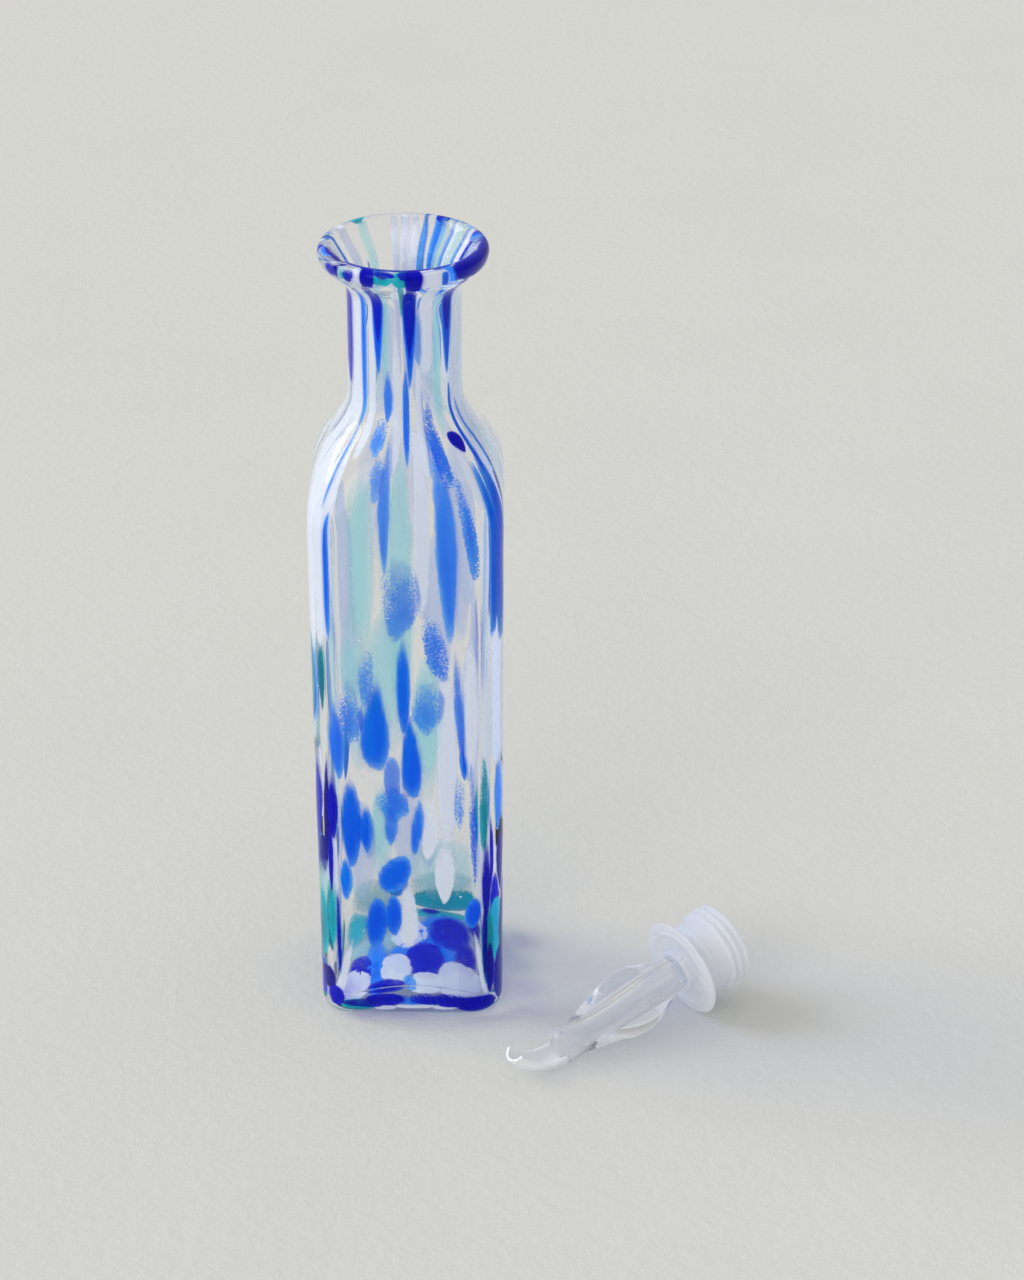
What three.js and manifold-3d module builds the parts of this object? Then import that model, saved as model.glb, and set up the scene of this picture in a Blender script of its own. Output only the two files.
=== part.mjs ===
// A square bottle of hand-blown glass for table oil, with its drip pourer taken off and laid beside it.
// Millimetres, +Z up. The origin is the middle of the bottle's foot.

import * as THREE from 'three';
import { mergeVertices } from 'three/addons/utils/BufferGeometryUtils.js';
import Module from 'manifold-3d';

// Bottle: heights. The depths are measured down from the top of the lip.
const HEIGHT = 261.5;
const FLARE_KNEE = 8.8; // where the flare turns out and up again
const FLARE_DEPTH = 15.8; // where the neck begins to flare
const FUNNEL_DEPTH = 25.5; // where the straight bore begins
const NECK_DEPTH = 46.5; // where the shoulder has run out into the neck
const SHOULDER_RISE = 39; // from the sides' end up to the neck

// Bottle: widths
const BASE_WIDTH = 60; // across two sides, above the heel
const BODY_DRAFT = 1.5; // the body is this much wider at the shoulder
const NECK_DIAMETER = 35.4;
const LIP_OVERHANG = 8.6; // the lip stands out from the neck all round
const WALL = 4.2;
const FACE_SINK = 1.1; // the middle of each side lies this far in

// Bottle: roundings
const CORNER_RADIUS = 11; // upright corners, seen from above
const HEEL_RADIUS = 5;
const NECK_FILLET = 18;
const LIP_EDGE = 2.6;
const LIP_ROLL = THREE.MathUtils.degToRad(150); // how far the lip's edge is rounded over

// Bottle: floor inside
const FLOOR = 4.6; // glass under the inside corners
const FLOOR_RISE = 9.6; // dome in the middle
const FLOOR_HEEL = 4; // rounding between floor and wall
const DOME_FADE = 28; // height over which the dome fades out up the wall

// Pourer: stopper
const FLANGE_OVERHANG = 3; // the flange stands out from the fins all round
const FLANGE = 1.3;
const FLANGE_RIM = 0.9; // thinner rim of the flange
const RIM_WIDTH = 3.2;
const BEAD = 0.5; // ring on the flange, half its width and its height
const COLLAR = 2.3; // stands out of the flange round the spout
const COLLAR_WALL = 1.7;
const PLUG_LENGTH = 19.4;
const PLUG_WALL = 2.2;
const PLUG_NECK = 5; // slimmer stretch behind the flange
const PLUG_RELIEF = 0.9; // how much slimmer it is, on the radius
const PLUG_CHAMFER = 0.7;
const FIN_HEIGHT = 1.4;
const FIN_GRIP = 0.2; // the fins are larger than the neck's bore, on the radius
const FIN_COUNT = 3;
const FIN_PITCH = 2.8;
const FIN_FOOT = 1.9;
const FIN_EDGE = 0.5;
const SOCKET_DEPTH = 12;
const SOCKET_WALL = 1.3;
const VENT_DIAMETER = 1.9;

// Pourer: spout
const SPOUT_REACH = 51.4; // flange to the square cut
const SPOUT_BORE = 7.6;
const SPIGOT_DIAMETER = 10;
const SPOUT_STEP = 0.8; // the tube is larger than its spigot, on the radius
const SWELL_DIAMETER = 22.2;
const SWELL_ROOT = 1.9; // the swelling ends this far from the flange
const SWELL_FALL = 19.5; // from its widest place back to the flange end
const SWELL_RISE = 26; // from the cut end to its widest place
const SPIGOT_SHORT = 0.6; // the spigot ends this far inside the socket's end
const RING_HEIGHT = 0.25;
const RING_WIDTH = 0.7;
const RING_PITCH = 1.4;
const RING_COUNT = 4;
const RING_START = 1.2; // first ring, behind the flange's front
const GUTTER_BEND = 18; // radius of the curl, at the middle of the gutter
const GUTTER_TURN = THREE.MathUtils.degToRad(62);
const GUTTER_WRAP = THREE.MathUtils.degToRad(190);
const GUTTER_INSET = 0.3; // its root is thinner than the tube's wall by this, inside and outside
const GUTTER_ROOT = 1.2; // its root reaches this far into the tube's wall
const GUTTER_TAPER = 0.68; // size at the tip, against the root

// Clearance between the spout and the stopper
const PLAY = 0.3;

// Where the pourer lies: the middle of its flange, seen from above, and which way its stopper points
const POURER_X = 88.3;
const POURER_Y = -24.8;
const POURER_HEADING = THREE.MathUtils.degToRad(37);

// Facets
const BOTTLE_SEGMENTS = 56;
const CORNER_SHARE = 0.9; // most of a section's half width that lies before the arc of its corner
const CORNER_CROWDING = 0.42; // draws the facets of the square sections to the corners
const POURER_SEGMENTS = 36;
const VENT_SEGMENTS = 12;
const SWELL_STEPS = 16;
const GUTTER_STEPS = 10;
const GUTTER_ARC_STEPS = 16;
const BODY_STEPS = 6;
const SHOULDER_STEPS = 6;
const FILLET_STEPS = 4;
const FLARE_STEPS = 8;
const LIP_STEPS = 5;
const FLOOR_STEPS = 3;
const MERGE = 1e-4;

// Sizes that follow
const NECK_Z = HEIGHT - NECK_DEPTH;
const SHOULDER_Z = NECK_Z - SHOULDER_RISE;
const BASE_HALF = BASE_WIDTH / 2;
const SHOULDER_HALF = BASE_HALF + BODY_DRAFT / 2;
const NECK_RADIUS = NECK_DIAMETER / 2;
const BORE_RADIUS = NECK_RADIUS - WALL;
const LIP_RADIUS = NECK_RADIUS + LIP_OVERHANG;
const FIN_RADIUS = BORE_RADIUS + FIN_GRIP;
const PLUG_RADIUS = FIN_RADIUS - FIN_HEIGHT;
const FLANGE_RADIUS = FIN_RADIUS + FLANGE_OVERHANG;
const SPIGOT_RADIUS = SPIGOT_DIAMETER / 2;
const SOCKET_RADIUS = SPIGOT_RADIUS + RING_HEIGHT + PLAY;
const SPOUT_RADIUS = SPIGOT_RADIUS + SPOUT_STEP;
const BORE = SPOUT_BORE / 2;

const { lerp, clamp, smoothstep } = THREE.MathUtils;
const wasm = await Module();
wasm.setup();

function point(radius, height) {
  return new THREE.Vector2(radius, height);
}

// Points along a curve, without its first one.
function along(curve, steps) {
  return curve.getPoints(steps).slice(1);
}

function straight(from, to, steps) {
  return along(new THREE.LineCurve(from, to), steps);
}

function arc(x, y, radius, start, end, steps) {
  return along(new THREE.EllipseCurve(x, y, radius, radius, start, end, end < start), steps);
}

function toSolid(geometry) {
  const bare = geometry.clone();
  bare.deleteAttribute('normal');
  bare.deleteAttribute('uv');
  const merged = mergeVertices(bare, MERGE);
  return new wasm.Manifold(new wasm.Mesh({
    numProp: 3,
    vertProperties: new Float32Array(merged.attributes.position.array),
    triVerts: new Uint32Array(merged.index.array),
  }));
}

function toGeometry(solid) {
  const mesh = solid.getMesh();
  const geometry = new THREE.BufferGeometry();
  geometry.setAttribute('position', new THREE.BufferAttribute(mesh.vertProperties, 3));
  geometry.setIndex(new THREE.BufferAttribute(mesh.triVerts, 1));
  geometry.computeVertexNormals();
  return geometry;
}

function piece(name, geometry, material) {
  const mesh = new THREE.Mesh(geometry, new THREE.MeshStandardMaterial(material));
  mesh.name = name;
  return mesh;
}

// The bottle's section through the middle of a side: foot, outside, lip, inside, floor.
// x is the half width there and y the height. Where the body is square, x is half its width.
function bottleProfile() {
  const rise = NECK_Z - SHOULDER_Z;
  const run = SHOULDER_HALF - NECK_RADIUS;
  const turn = 2 * Math.atan2(run, rise);
  const shoulderRadius = run / (1 - Math.cos(turn)) - NECK_FILLET;
  const shoulderX = SHOULDER_HALF - shoulderRadius;
  const filletX = NECK_RADIUS + NECK_FILLET;
  const lipX = LIP_RADIUS - LIP_EDGE;
  const lipZ = HEIGHT - LIP_EDGE;
  const kneeZ = HEIGHT - FLARE_KNEE;
  const flareStart = point(NECK_RADIUS, HEIGHT - FLARE_DEPTH);
  const flareEnd = point(LIP_RADIUS, lipZ);
  const flare = new THREE.CubicBezierCurve(
    flareStart, point(NECK_RADIUS, kneeZ), point(LIP_RADIUS, kneeZ), flareEnd);
  const funnelTop = point(lipX + LIP_EDGE * Math.cos(LIP_ROLL), lipZ + LIP_EDGE * Math.sin(LIP_ROLL));
  const funnelSlope = Math.cos(LIP_ROLL) / Math.sin(LIP_ROLL);
  const funnelBend = point(BORE_RADIUS, funnelTop.y + (funnelTop.x - BORE_RADIUS) * funnelSlope);
  const funnelFoot = point(BORE_RADIUS, HEIGHT - FUNNEL_DEPTH);
  const funnel = new THREE.QuadraticBezierCurve(funnelTop, funnelBend, funnelFoot);
  const innerHalf = BASE_HALF - WALL;
  const floorHalf = innerHalf - FLOOR_HEEL;
  return [
    point(0, 0),
    point(BASE_HALF - HEEL_RADIUS, 0),
    ...arc(BASE_HALF - HEEL_RADIUS, HEEL_RADIUS, HEEL_RADIUS, -Math.PI / 2, 0, FILLET_STEPS),
    ...straight(point(BASE_HALF, HEEL_RADIUS), point(SHOULDER_HALF, SHOULDER_Z), BODY_STEPS),
    ...arc(shoulderX, SHOULDER_Z, shoulderRadius, 0, turn, SHOULDER_STEPS),
    ...arc(filletX, NECK_Z, NECK_FILLET, Math.PI + turn, Math.PI, FILLET_STEPS),
    flareStart,
    ...along(flare, FLARE_STEPS),
    ...arc(lipX, lipZ, LIP_EDGE, 0, LIP_ROLL, LIP_STEPS),
    ...along(funnel, FLARE_STEPS),
    point(BORE_RADIUS, NECK_Z),
    ...arc(filletX, NECK_Z, NECK_FILLET + WALL, Math.PI, Math.PI + turn, FILLET_STEPS),
    ...arc(shoulderX, SHOULDER_Z, shoulderRadius - WALL, turn, 0, SHOULDER_STEPS),
    ...straight(point(SHOULDER_HALF - WALL, SHOULDER_Z), point(innerHalf, FLOOR + FLOOR_HEEL), BODY_STEPS),
    ...arc(floorHalf, FLOOR + FLOOR_HEEL, FLOOR_HEEL, 0, -Math.PI / 2, FILLET_STEPS),
    ...straight(point(floorHalf, FLOOR), point(0, FLOOR), FLOOR_STEPS),
  ];
}

// How square the bottle is at a height: 1 in the body, 0 in the neck.
function squareness(z) {
  return 1 - smoothstep(z, SHOULDER_Z, NECK_Z);
}

// The arcs of the four corners are centred this far from the middle, both ways.
function cornerCentre(z) {
  const half = lerp(BASE_HALF, SHOULDER_HALF, clamp(z / SHOULDER_Z, 0, 1));
  return squareness(z) * (half - CORNER_RADIUS);
}

// How far the middle of a side lies in at a height.
function sink(z) {
  return FACE_SINK * Math.sin(Math.PI * clamp((z - HEEL_RADIUS) / (SHOULDER_Z - HEEL_RADIUS), 0, 1));
}

// A point of the rounded square of this half width, in a direction seen from above.
function sectionPoint(direction, half, z) {
  const centre = Math.min(cornerCentre(z), CORNER_SHARE * half);
  const radius = half - centre;
  const c = Math.cos(direction);
  const s = Math.sin(direction);
  const reach = Math.max(Math.abs(c), Math.abs(s));
  const aside = Math.min(Math.abs(c), Math.abs(s));
  const spot = new THREE.Vector2(c, s);
  if (half * aside < centre * reach) {
    const lateral = half * aside / reach;
    const inward = sink(z) * Math.cos(Math.PI / 2 * lateral / centre) ** 2;
    const onX = Math.abs(c) >= Math.abs(s);
    spot.multiplyScalar(half / reach);
    spot.x -= onX ? Math.sign(c) * inward : 0;
    spot.y -= onX ? 0 : Math.sign(s) * inward;
    return spot;
  }
  const ahead = centre * (reach + aside);
  return spot.multiplyScalar(ahead + Math.sqrt(ahead * ahead - 2 * centre * centre + radius * radius));
}

// The floor's dome: highest in the middle, nothing in the corners, and fading out up the wall.
function domeLift(spot, z) {
  const centre = cornerCentre(FLOOR);
  const cornerReach = centre * Math.SQRT2 + BASE_HALF - WALL - centre;
  const fade = 1 - smoothstep(z, FLOOR, FLOOR + DOME_FADE);
  return FLOOR_RISE * fade * Math.max(0, 1 - spot.lengthSq() / (cornerReach * cornerReach));
}

// A turned bottle, with each ring of it then drawn out to its rounded square.
function bottleGeometry() {
  const profile = bottleProfile();
  const geometry = new THREE.LatheGeometry(profile, BOTTLE_SEGMENTS);
  const place = geometry.attributes.position;
  const lip = profile.findIndex((p) => p.y >= HEIGHT - LIP_EDGE);
  for (let i = 0; i < place.count; i += 1) {
    const ring = i % profile.length;
    const { x: half, y: z } = profile[ring];
    const turn = Math.floor(i / profile.length) / BOTTLE_SEGMENTS * 2 * Math.PI;
    const crowding = CORNER_CROWDING * squareness(z);
    const direction = turn - Math.PI / 2 + crowding / 4 * Math.sin(4 * turn);
    const spot = sectionPoint(direction, half, z);
    const lift = ring > lip ? domeLift(spot, z) : 0;
    place.setXYZ(i, spot.x, spot.y, z + lift);
  }
  geometry.computeVertexNormals();
  return geometry;
}

// The pourer's pieces are turned about Y. y is 0 at the front of the flange and grows into the plug.
function finPoints() {
  const first = PLUG_LENGTH - FIN_FOOT / 2 - PLUG_CHAMFER - (FIN_COUNT - 1) * FIN_PITCH;
  const points = [];
  for (let k = 0; k < FIN_COUNT; k += 1) {
    const y = first + k * FIN_PITCH;
    points.push(point(PLUG_RADIUS, y - FIN_FOOT / 2));
    points.push(point(FIN_RADIUS, y - FIN_EDGE / 2));
    points.push(point(FIN_RADIUS, y + FIN_EDGE / 2));
    points.push(point(PLUG_RADIUS, y + FIN_FOOT / 2));
  }
  return points;
}

function stopperGeometry() {
  const collar = SOCKET_RADIUS + COLLAR_WALL;
  const socket = SOCKET_RADIUS + SOCKET_WALL;
  const inside = PLUG_RADIUS - PLUG_WALL;
  const roof = FLANGE + PLUG_WALL / 2;
  const bead = FLANGE_RADIUS - RIM_WIDTH;
  const rim = FLANGE_RIM / 2;
  const relief = PLUG_RADIUS - PLUG_RELIEF;
  const profile = [
    point(SOCKET_RADIUS, -COLLAR),
    point(collar - BEAD, -COLLAR),
    point(collar, BEAD - COLLAR),
    point(collar, 0),
    point(bead - 2 * BEAD, 0),
    ...arc(bead - BEAD, 0, BEAD, Math.PI, 2 * Math.PI, FILLET_STEPS),
    point(FLANGE_RADIUS - rim, 0),
    ...arc(FLANGE_RADIUS - rim, rim, rim, -Math.PI / 2, Math.PI / 2, FILLET_STEPS),
    point(bead, FLANGE_RIM),
    point(bead - BEAD, FLANGE),
    point(relief, FLANGE),
    point(relief, PLUG_NECK),
    point(PLUG_RADIUS, PLUG_NECK + PLUG_RELIEF),
    ...finPoints(),
    point(PLUG_RADIUS - PLUG_CHAMFER, PLUG_LENGTH),
    point(inside, PLUG_LENGTH),
    point(inside, roof),
    point(socket, roof),
    point(socket, SOCKET_DEPTH),
    point(SOCKET_RADIUS, SOCKET_DEPTH),
    point(SOCKET_RADIUS, -COLLAR),
  ];
  const ventRadius = VENT_DIAMETER / 2;
  const vent = new THREE.CylinderGeometry(ventRadius, ventRadius, roof + 2 * FLANGE, VENT_SEGMENTS);
  vent.translate((Math.max(socket, collar) + inside) / 2, roof / 2, 0);
  return toGeometry(toSolid(new THREE.LatheGeometry(profile, POURER_SEGMENTS)).subtract(toSolid(vent)));
}

// The spout's outer radius at a distance from its square cut.
function swell(distance) {
  const end = SPOUT_REACH - SWELL_ROOT;
  const widest = end - SWELL_FALL;
  const grown = smoothstep(distance, widest - SWELL_RISE, widest) - smoothstep(distance, widest, end);
  return lerp(SPOUT_RADIUS, SWELL_DIAMETER / 2, grown);
}

function ringPoints() {
  const points = [];
  for (let k = 0; k < RING_COUNT; k += 1) {
    const y = RING_START + k * RING_PITCH;
    points.push(point(SPIGOT_RADIUS, y - RING_WIDTH / 2));
    points.push(point(SPIGOT_RADIUS + RING_HEIGHT, y));
    points.push(point(SPIGOT_RADIUS, y + RING_WIDTH / 2));
  }
  return points;
}

function spoutTube() {
  const root = -COLLAR - PLAY;
  const length = SPOUT_REACH + root;
  const skin = [];
  for (let k = 0; k <= SWELL_STEPS; k += 1) {
    const distance = length * k / SWELL_STEPS;
    skin.push(point(swell(distance), distance - SPOUT_REACH));
  }
  const spigotEnd = SOCKET_DEPTH - SPIGOT_SHORT;
  const profile = [
    point(BORE, -SPOUT_REACH),
    ...skin,
    point(SPIGOT_RADIUS, root),
    ...ringPoints(),
    point(SPIGOT_RADIUS, spigotEnd - RING_HEIGHT),
    point(SPIGOT_RADIUS - RING_HEIGHT, spigotEnd),
    point(BORE, spigotEnd),
    point(BORE, -SPOUT_REACH),
  ];
  return new THREE.LatheGeometry(profile, POURER_SEGMENTS);
}

// A straight half pipe, then curled up and drawn in towards its tip.
function gutter() {
  const outer = SPOUT_RADIUS - GUTTER_INSET;
  const inner = BORE + GUTTER_INSET;
  const start = -Math.PI / 2 - GUTTER_WRAP / 2;
  const end = -Math.PI / 2 + GUTTER_WRAP / 2;
  const section = new THREE.Shape();
  section.absarc(0, 0, outer, start, end, false);
  section.absarc(0, 0, inner, end, start, true);
  const curled = GUTTER_BEND * GUTTER_TURN;
  const geometry = new THREE.ExtrudeGeometry(section, {
    depth: GUTTER_ROOT + curled,
    steps: GUTTER_STEPS,
    curveSegments: GUTTER_ARC_STEPS,
    bevelEnabled: false,
  });
  const place = geometry.attributes.position;
  for (let i = 0; i < place.count; i += 1) {
    const past = Math.max(0, place.getZ(i) - GUTTER_ROOT);
    const behind = Math.max(0, GUTTER_ROOT - place.getZ(i));
    const size = lerp(1, GUTTER_TAPER, past / curled);
    const turn = past / GUTTER_BEND;
    const reach = GUTTER_BEND - size * place.getY(i);
    place.setXYZ(
      i,
      size * place.getX(i),
      behind - SPOUT_REACH - reach * Math.sin(turn),
      GUTTER_BEND - reach * Math.cos(turn));
  }
  return geometry;
}

function spoutGeometry() {
  return toGeometry(toSolid(spoutTube()).add(toSolid(gutter())));
}

// The pourer lies tilted on the rim of its flange and the end of its tube, let down until it touches.
function layDown(pourer) {
  const tilt = Math.atan2(FLANGE_RADIUS - SPOUT_RADIUS, SPOUT_REACH);
  pourer.rotation.set(tilt, 0, POURER_HEADING - Math.PI / 2, 'ZYX');
  pourer.position.set(POURER_X, POURER_Y, 0);
  pourer.updateMatrixWorld(true);
  pourer.position.z = -new THREE.Box3().setFromObject(pourer, true).min.z;
}

const glass = { color: 0xcfd9ea, roughness: 0.05, metalness: 0 };
const milkyPlastic = { color: 0xeef1f4, roughness: 0.45, metalness: 0 };
const clearPlastic = { color: 0xe4e8ea, roughness: 0.1, metalness: 0 };

const pourer = new THREE.Group();
pourer.add(piece('pourer_stopper', stopperGeometry(), milkyPlastic));
pourer.add(piece('pourer_spout', spoutGeometry(), clearPlastic));
layDown(pourer);

const oilBottle = new THREE.Group();
oilBottle.add(piece('glass_bottle', bottleGeometry(), glass));
oilBottle.add(pourer);

export default oilBottle;
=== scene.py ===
"""A square bottle of flecked, hand-blown glass for table oil, with its drip pourer lying beside it."""

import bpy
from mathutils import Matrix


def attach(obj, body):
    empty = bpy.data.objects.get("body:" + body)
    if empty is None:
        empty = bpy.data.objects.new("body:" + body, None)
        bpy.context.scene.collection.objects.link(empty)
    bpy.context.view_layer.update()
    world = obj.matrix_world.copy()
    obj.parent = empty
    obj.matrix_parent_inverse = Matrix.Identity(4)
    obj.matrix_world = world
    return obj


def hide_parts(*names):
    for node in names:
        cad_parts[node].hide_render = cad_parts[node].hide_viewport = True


bl_info = {
    "name": "Flecked oil bottle",
    "version": (1, 0, 0),
    "blender": (4, 5, 0),
    "location": "3D View > Sidebar > Oil bottle",
    "description": "Blows the flecked bottle, moulds its drip pourer and sets a plain stage",
    "category": "Object",
}

import math
import random
from typing import NamedTuple

import bmesh
import bpy
import numpy as np
from mathutils import Matrix, Vector, noise

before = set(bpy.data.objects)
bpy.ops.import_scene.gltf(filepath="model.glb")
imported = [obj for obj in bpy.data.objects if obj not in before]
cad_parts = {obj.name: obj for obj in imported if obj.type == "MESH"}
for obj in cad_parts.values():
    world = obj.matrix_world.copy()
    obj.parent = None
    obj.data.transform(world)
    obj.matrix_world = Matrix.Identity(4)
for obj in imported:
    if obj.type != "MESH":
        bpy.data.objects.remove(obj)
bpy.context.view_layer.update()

MM = 0.001
QUARTER = math.pi / 2
WELD = 0.002 * MM                   # points that are closer than this are one
SHARP = math.radians(35)            # edges that turn more than this are rounded off


# Small helpers

def clamp(value):
    return min(1.0, max(0.0, value))


def smooth(value, low, high):
    """0 below low, 1 above high, and an even curve between them."""
    share = clamp((value - low) / (high - low))
    return share * share * (3 - 2 * share)


def blend_values(low, high, share):
    return low + (high - low) * share


def arc(x, y, radius, start, end, steps):
    """Points round an arc, without its first one."""
    turns = [start + (end - start) * k / steps for k in range(1, steps + 1)]
    return [(x + radius * math.cos(t), y + radius * math.sin(t)) for t in turns]


def straight(start, end, steps):
    """Points along a line, without its first one."""
    shares = [k / steps for k in range(1, steps + 1)]
    return [(blend_values(start[0], end[0], s), blend_values(start[1], end[1], s)) for s in shares]


def curve(points, steps):
    """Points along a Bezier curve, without its first one."""
    made = []
    for k in range(1, steps + 1):
        share = k / steps
        level = [Vector(p) for p in points]
        while len(level) > 1:
            level = [a.lerp(b, share) for a, b in zip(level, level[1:])]
        made.append(tuple(level[0]))
    return made


def deselect_all():
    if bpy.context.object and bpy.context.object.mode != "OBJECT":
        bpy.ops.object.mode_set(mode="OBJECT")
    bpy.ops.object.select_all(action="DESELECT")


def make_active(piece):
    deselect_all()
    piece.select_set(True)
    bpy.context.view_layer.objects.active = piece


def apply_modifier(piece, kind, **settings):
    make_active(piece)
    modifier = piece.modifiers.new(kind.title(), kind)
    for key, value in settings.items():
        setattr(modifier, key, value)
    bpy.ops.object.modifier_apply(modifier=modifier.name)


def subdivide_smooth(piece, levels):
    apply_modifier(piece, "SUBSURF", levels=levels, render_levels=levels)
    make_active(piece)
    bpy.ops.object.shade_smooth()


def round_edges(piece, width):
    apply_modifier(piece, "BEVEL", width=width, segments=2, limit_method="ANGLE", angle_limit=SHARP)


def extrude(rise=0.0):
    """In edit mode: draw a copy of the selected ring or faces out, straight up."""
    bpy.ops.mesh.extrude_region_move(TRANSFORM_OT_translate={"value": (0, 0, rise)})


def scale_ring(scale):
    bpy.ops.transform.resize(value=(scale, scale, 1), center_override=(0, 0, 0))


def turn(name, outline, count):
    """Turn a body about Z: a circle is drawn out ring by ring along an outline of radius and height."""
    deselect_all()
    radius, height = outline[0]
    bpy.ops.mesh.primitive_circle_add(vertices=count, radius=radius)
    body = bpy.context.object
    body.name = name
    bpy.ops.object.mode_set(mode="EDIT")
    bpy.ops.mesh.select_all(action="SELECT")
    bpy.ops.transform.translate(value=(0, 0, height))
    for next_radius, next_height in outline[1:]:
        extrude(next_height - height)
        scale_ring(next_radius / radius)
        radius, height = next_radius, next_height
    return body


def weld_and_face_out():
    """In edit mode: merge what meets and turn the faces outwards."""
    bpy.ops.mesh.select_all(action="SELECT")
    bpy.ops.mesh.remove_doubles(threshold=WELD)
    bpy.ops.mesh.normals_make_consistent(inside=False)


def set_material(piece, material):
    piece.data.materials.clear()
    piece.data.materials.append(material)


# The bottle's form

class BottleForm:
    """The outline and the rounded-square sections that the glass and its flecks share.

    An outline is a run of points of radius and height. The last figure of each stretch is its count of
    steps.
    """

    MOST_SQUARE = 0.9       # share of a ring's half width that its straight sides may take
    LAST_RING = 0.2         # size of the floor's last ring, against the floor
    SKIN_FINENESS = 4       # steps of the skin that flecks are laid in, against the bottle's own

    def __init__(self, sizes):
        self.s = sizes
        self.neck_z = sizes.height - sizes.neck_depth
        self.shoulder_z = self.neck_z - sizes.shoulder_rise
        self.base_half = sizes.base_width / 2
        self.shoulder_half = self.base_half + sizes.body_draft / 2
        self.neck_radius = sizes.neck_diameter / 2
        self.bore_radius = self.neck_radius - sizes.wall
        self.lip_radius = self.neck_radius + sizes.lip_overhang
        rise = self.neck_z - self.shoulder_z
        run = self.shoulder_half - self.neck_radius
        self.turn = 2 * math.atan2(run, rise)
        self.shoulder_radius = run / (1 - math.cos(self.turn)) - sizes.neck_fillet
        self.shoulder_x = self.shoulder_half - self.shoulder_radius
        self.fillet_x = self.neck_radius + sizes.neck_fillet
        self.lip_x = self.lip_radius - sizes.lip_edge
        self.lip_z = sizes.height - sizes.lip_edge
        fine = self.SKIN_FINENESS
        self.skin = [(0.0, 0.0), *self.outside(fine), *self.inside_of_lip(fine)]
        self.reach = [0.0]
        for a, b in zip(self.skin, self.skin[1:]):
            self.reach.append(self.reach[-1] + math.dist(a, b))

    def outside(self, fine):
        """The foot's edge, the side, the shoulder, the neck and the flare up to the lip's widest place."""
        s = self.s
        heel = s.heel_radius
        knee = s.height - s.flare_knee
        flare = (self.neck_radius, s.height - s.flare_depth)
        return [
            (self.base_half - heel, 0.0),
            *arc(self.base_half - heel, heel, heel, -QUARTER, 0, 4 * fine),
            *straight((self.base_half, heel), (self.shoulder_half, self.shoulder_z), 18 * fine),
            *arc(self.shoulder_x, self.shoulder_z, self.shoulder_radius, 0, self.turn, 7 * fine),
            *arc(self.fillet_x, self.neck_z, s.neck_fillet, math.pi + self.turn, math.pi, 5 * fine),
            *straight((self.neck_radius, self.neck_z), flare, 3 * fine),
            *curve([flare, (self.neck_radius, knee), (self.lip_radius, knee), (self.lip_radius, self.lip_z)],
                   9 * fine),
        ]

    def inside_of_lip(self, fine):
        """Over the lip and down its funnel to the straight bore."""
        s = self.s
        roll = s.lip_roll
        top = (self.lip_x + s.lip_edge * math.cos(roll), self.lip_z + s.lip_edge * math.sin(roll))
        bend = (self.bore_radius, top[1] + (top[0] - self.bore_radius) / math.tan(roll))
        foot = (self.bore_radius, s.height - s.funnel_depth)
        edge = arc(self.lip_x, self.lip_z, s.lip_edge, 0, roll, 6 * fine)
        return [*edge, *curve([top, bend, foot], 8 * fine)]

    def inside(self):
        """The bore, the inside of shoulder and sides, and the floor as far as its last ring."""
        s = self.s
        inner = self.base_half - s.wall
        floor_half = inner - s.floor_heel
        heel_z = s.floor + s.floor_heel
        return [
            (self.bore_radius, self.neck_z),
            *arc(self.fillet_x, self.neck_z, s.neck_fillet + s.wall, math.pi, math.pi + self.turn, 5),
            *arc(self.shoulder_x, self.shoulder_z, self.shoulder_radius - s.wall, self.turn, 0, 7),
            *straight((self.shoulder_half - s.wall, self.shoulder_z), (inner, heel_z), 10),
            *arc(floor_half, heel_z, s.floor_heel, 0, -QUARTER, 4),
            *straight((floor_half, s.floor), (self.LAST_RING * floor_half, s.floor), 3),
        ]

    def squareness(self, z):
        return 1 - smooth(z, self.shoulder_z, self.neck_z)

    def half_width(self, z):
        return blend_values(self.base_half, self.shoulder_half, clamp(z / self.shoulder_z))

    def corner_centre(self, z):
        return self.squareness(z) * (self.half_width(z) - self.s.corner_radius)

    def sink(self, z):
        share = (z - self.s.heel_radius) / (self.shoulder_z - self.s.heel_radius)
        return self.s.face_sink * math.sin(math.pi * clamp(share))

    def spot(self, direction, half, z):
        """A point of the section of this half width, in a direction seen from above."""
        centre = min(self.corner_centre(z), self.MOST_SQUARE * half)
        radius = half - centre
        c, s = math.cos(direction), math.sin(direction)
        reach, aside = max(abs(c), abs(s)), min(abs(c), abs(s))
        if half * aside < centre * reach:
            x, y = c * half / reach, s * half / reach
            inward = self.sink(z) * math.cos(QUARTER * half * aside / reach / centre) ** 2
            if abs(c) >= abs(s):
                return x - math.copysign(inward, c), y
            return x, y - math.copysign(inward, s)
        ahead = centre * (reach + aside)
        far = ahead + math.sqrt(ahead * ahead - 2 * centre * centre + radius * radius)
        return c * far, s * far

    def dome(self, x, y, z):
        """How far the domed floor lifts a point of the inside."""
        centre = self.corner_centre(self.s.floor)
        corner = centre * math.sqrt(2) + self.base_half - self.s.wall - centre
        fade = 1 - smooth(z, self.s.floor, self.s.floor + self.s.dome_fade)
        return self.s.floor_rise * fade * max(0.0, 1 - (x * x + y * y) / (corner * corner))

    def along_at_height(self, z):
        """The way along the skin, from the middle of the foot, at which the outside reaches a height."""
        for k in range(1, len(self.skin)):
            if self.skin[k][1] >= z:
                a, b = self.skin[k - 1], self.skin[k]
                share = (z - a[1]) / (b[1] - a[1])
                return blend_values(self.reach[k - 1], self.reach[k], share)
        raise ValueError("no part of the bottle is that high")

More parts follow.
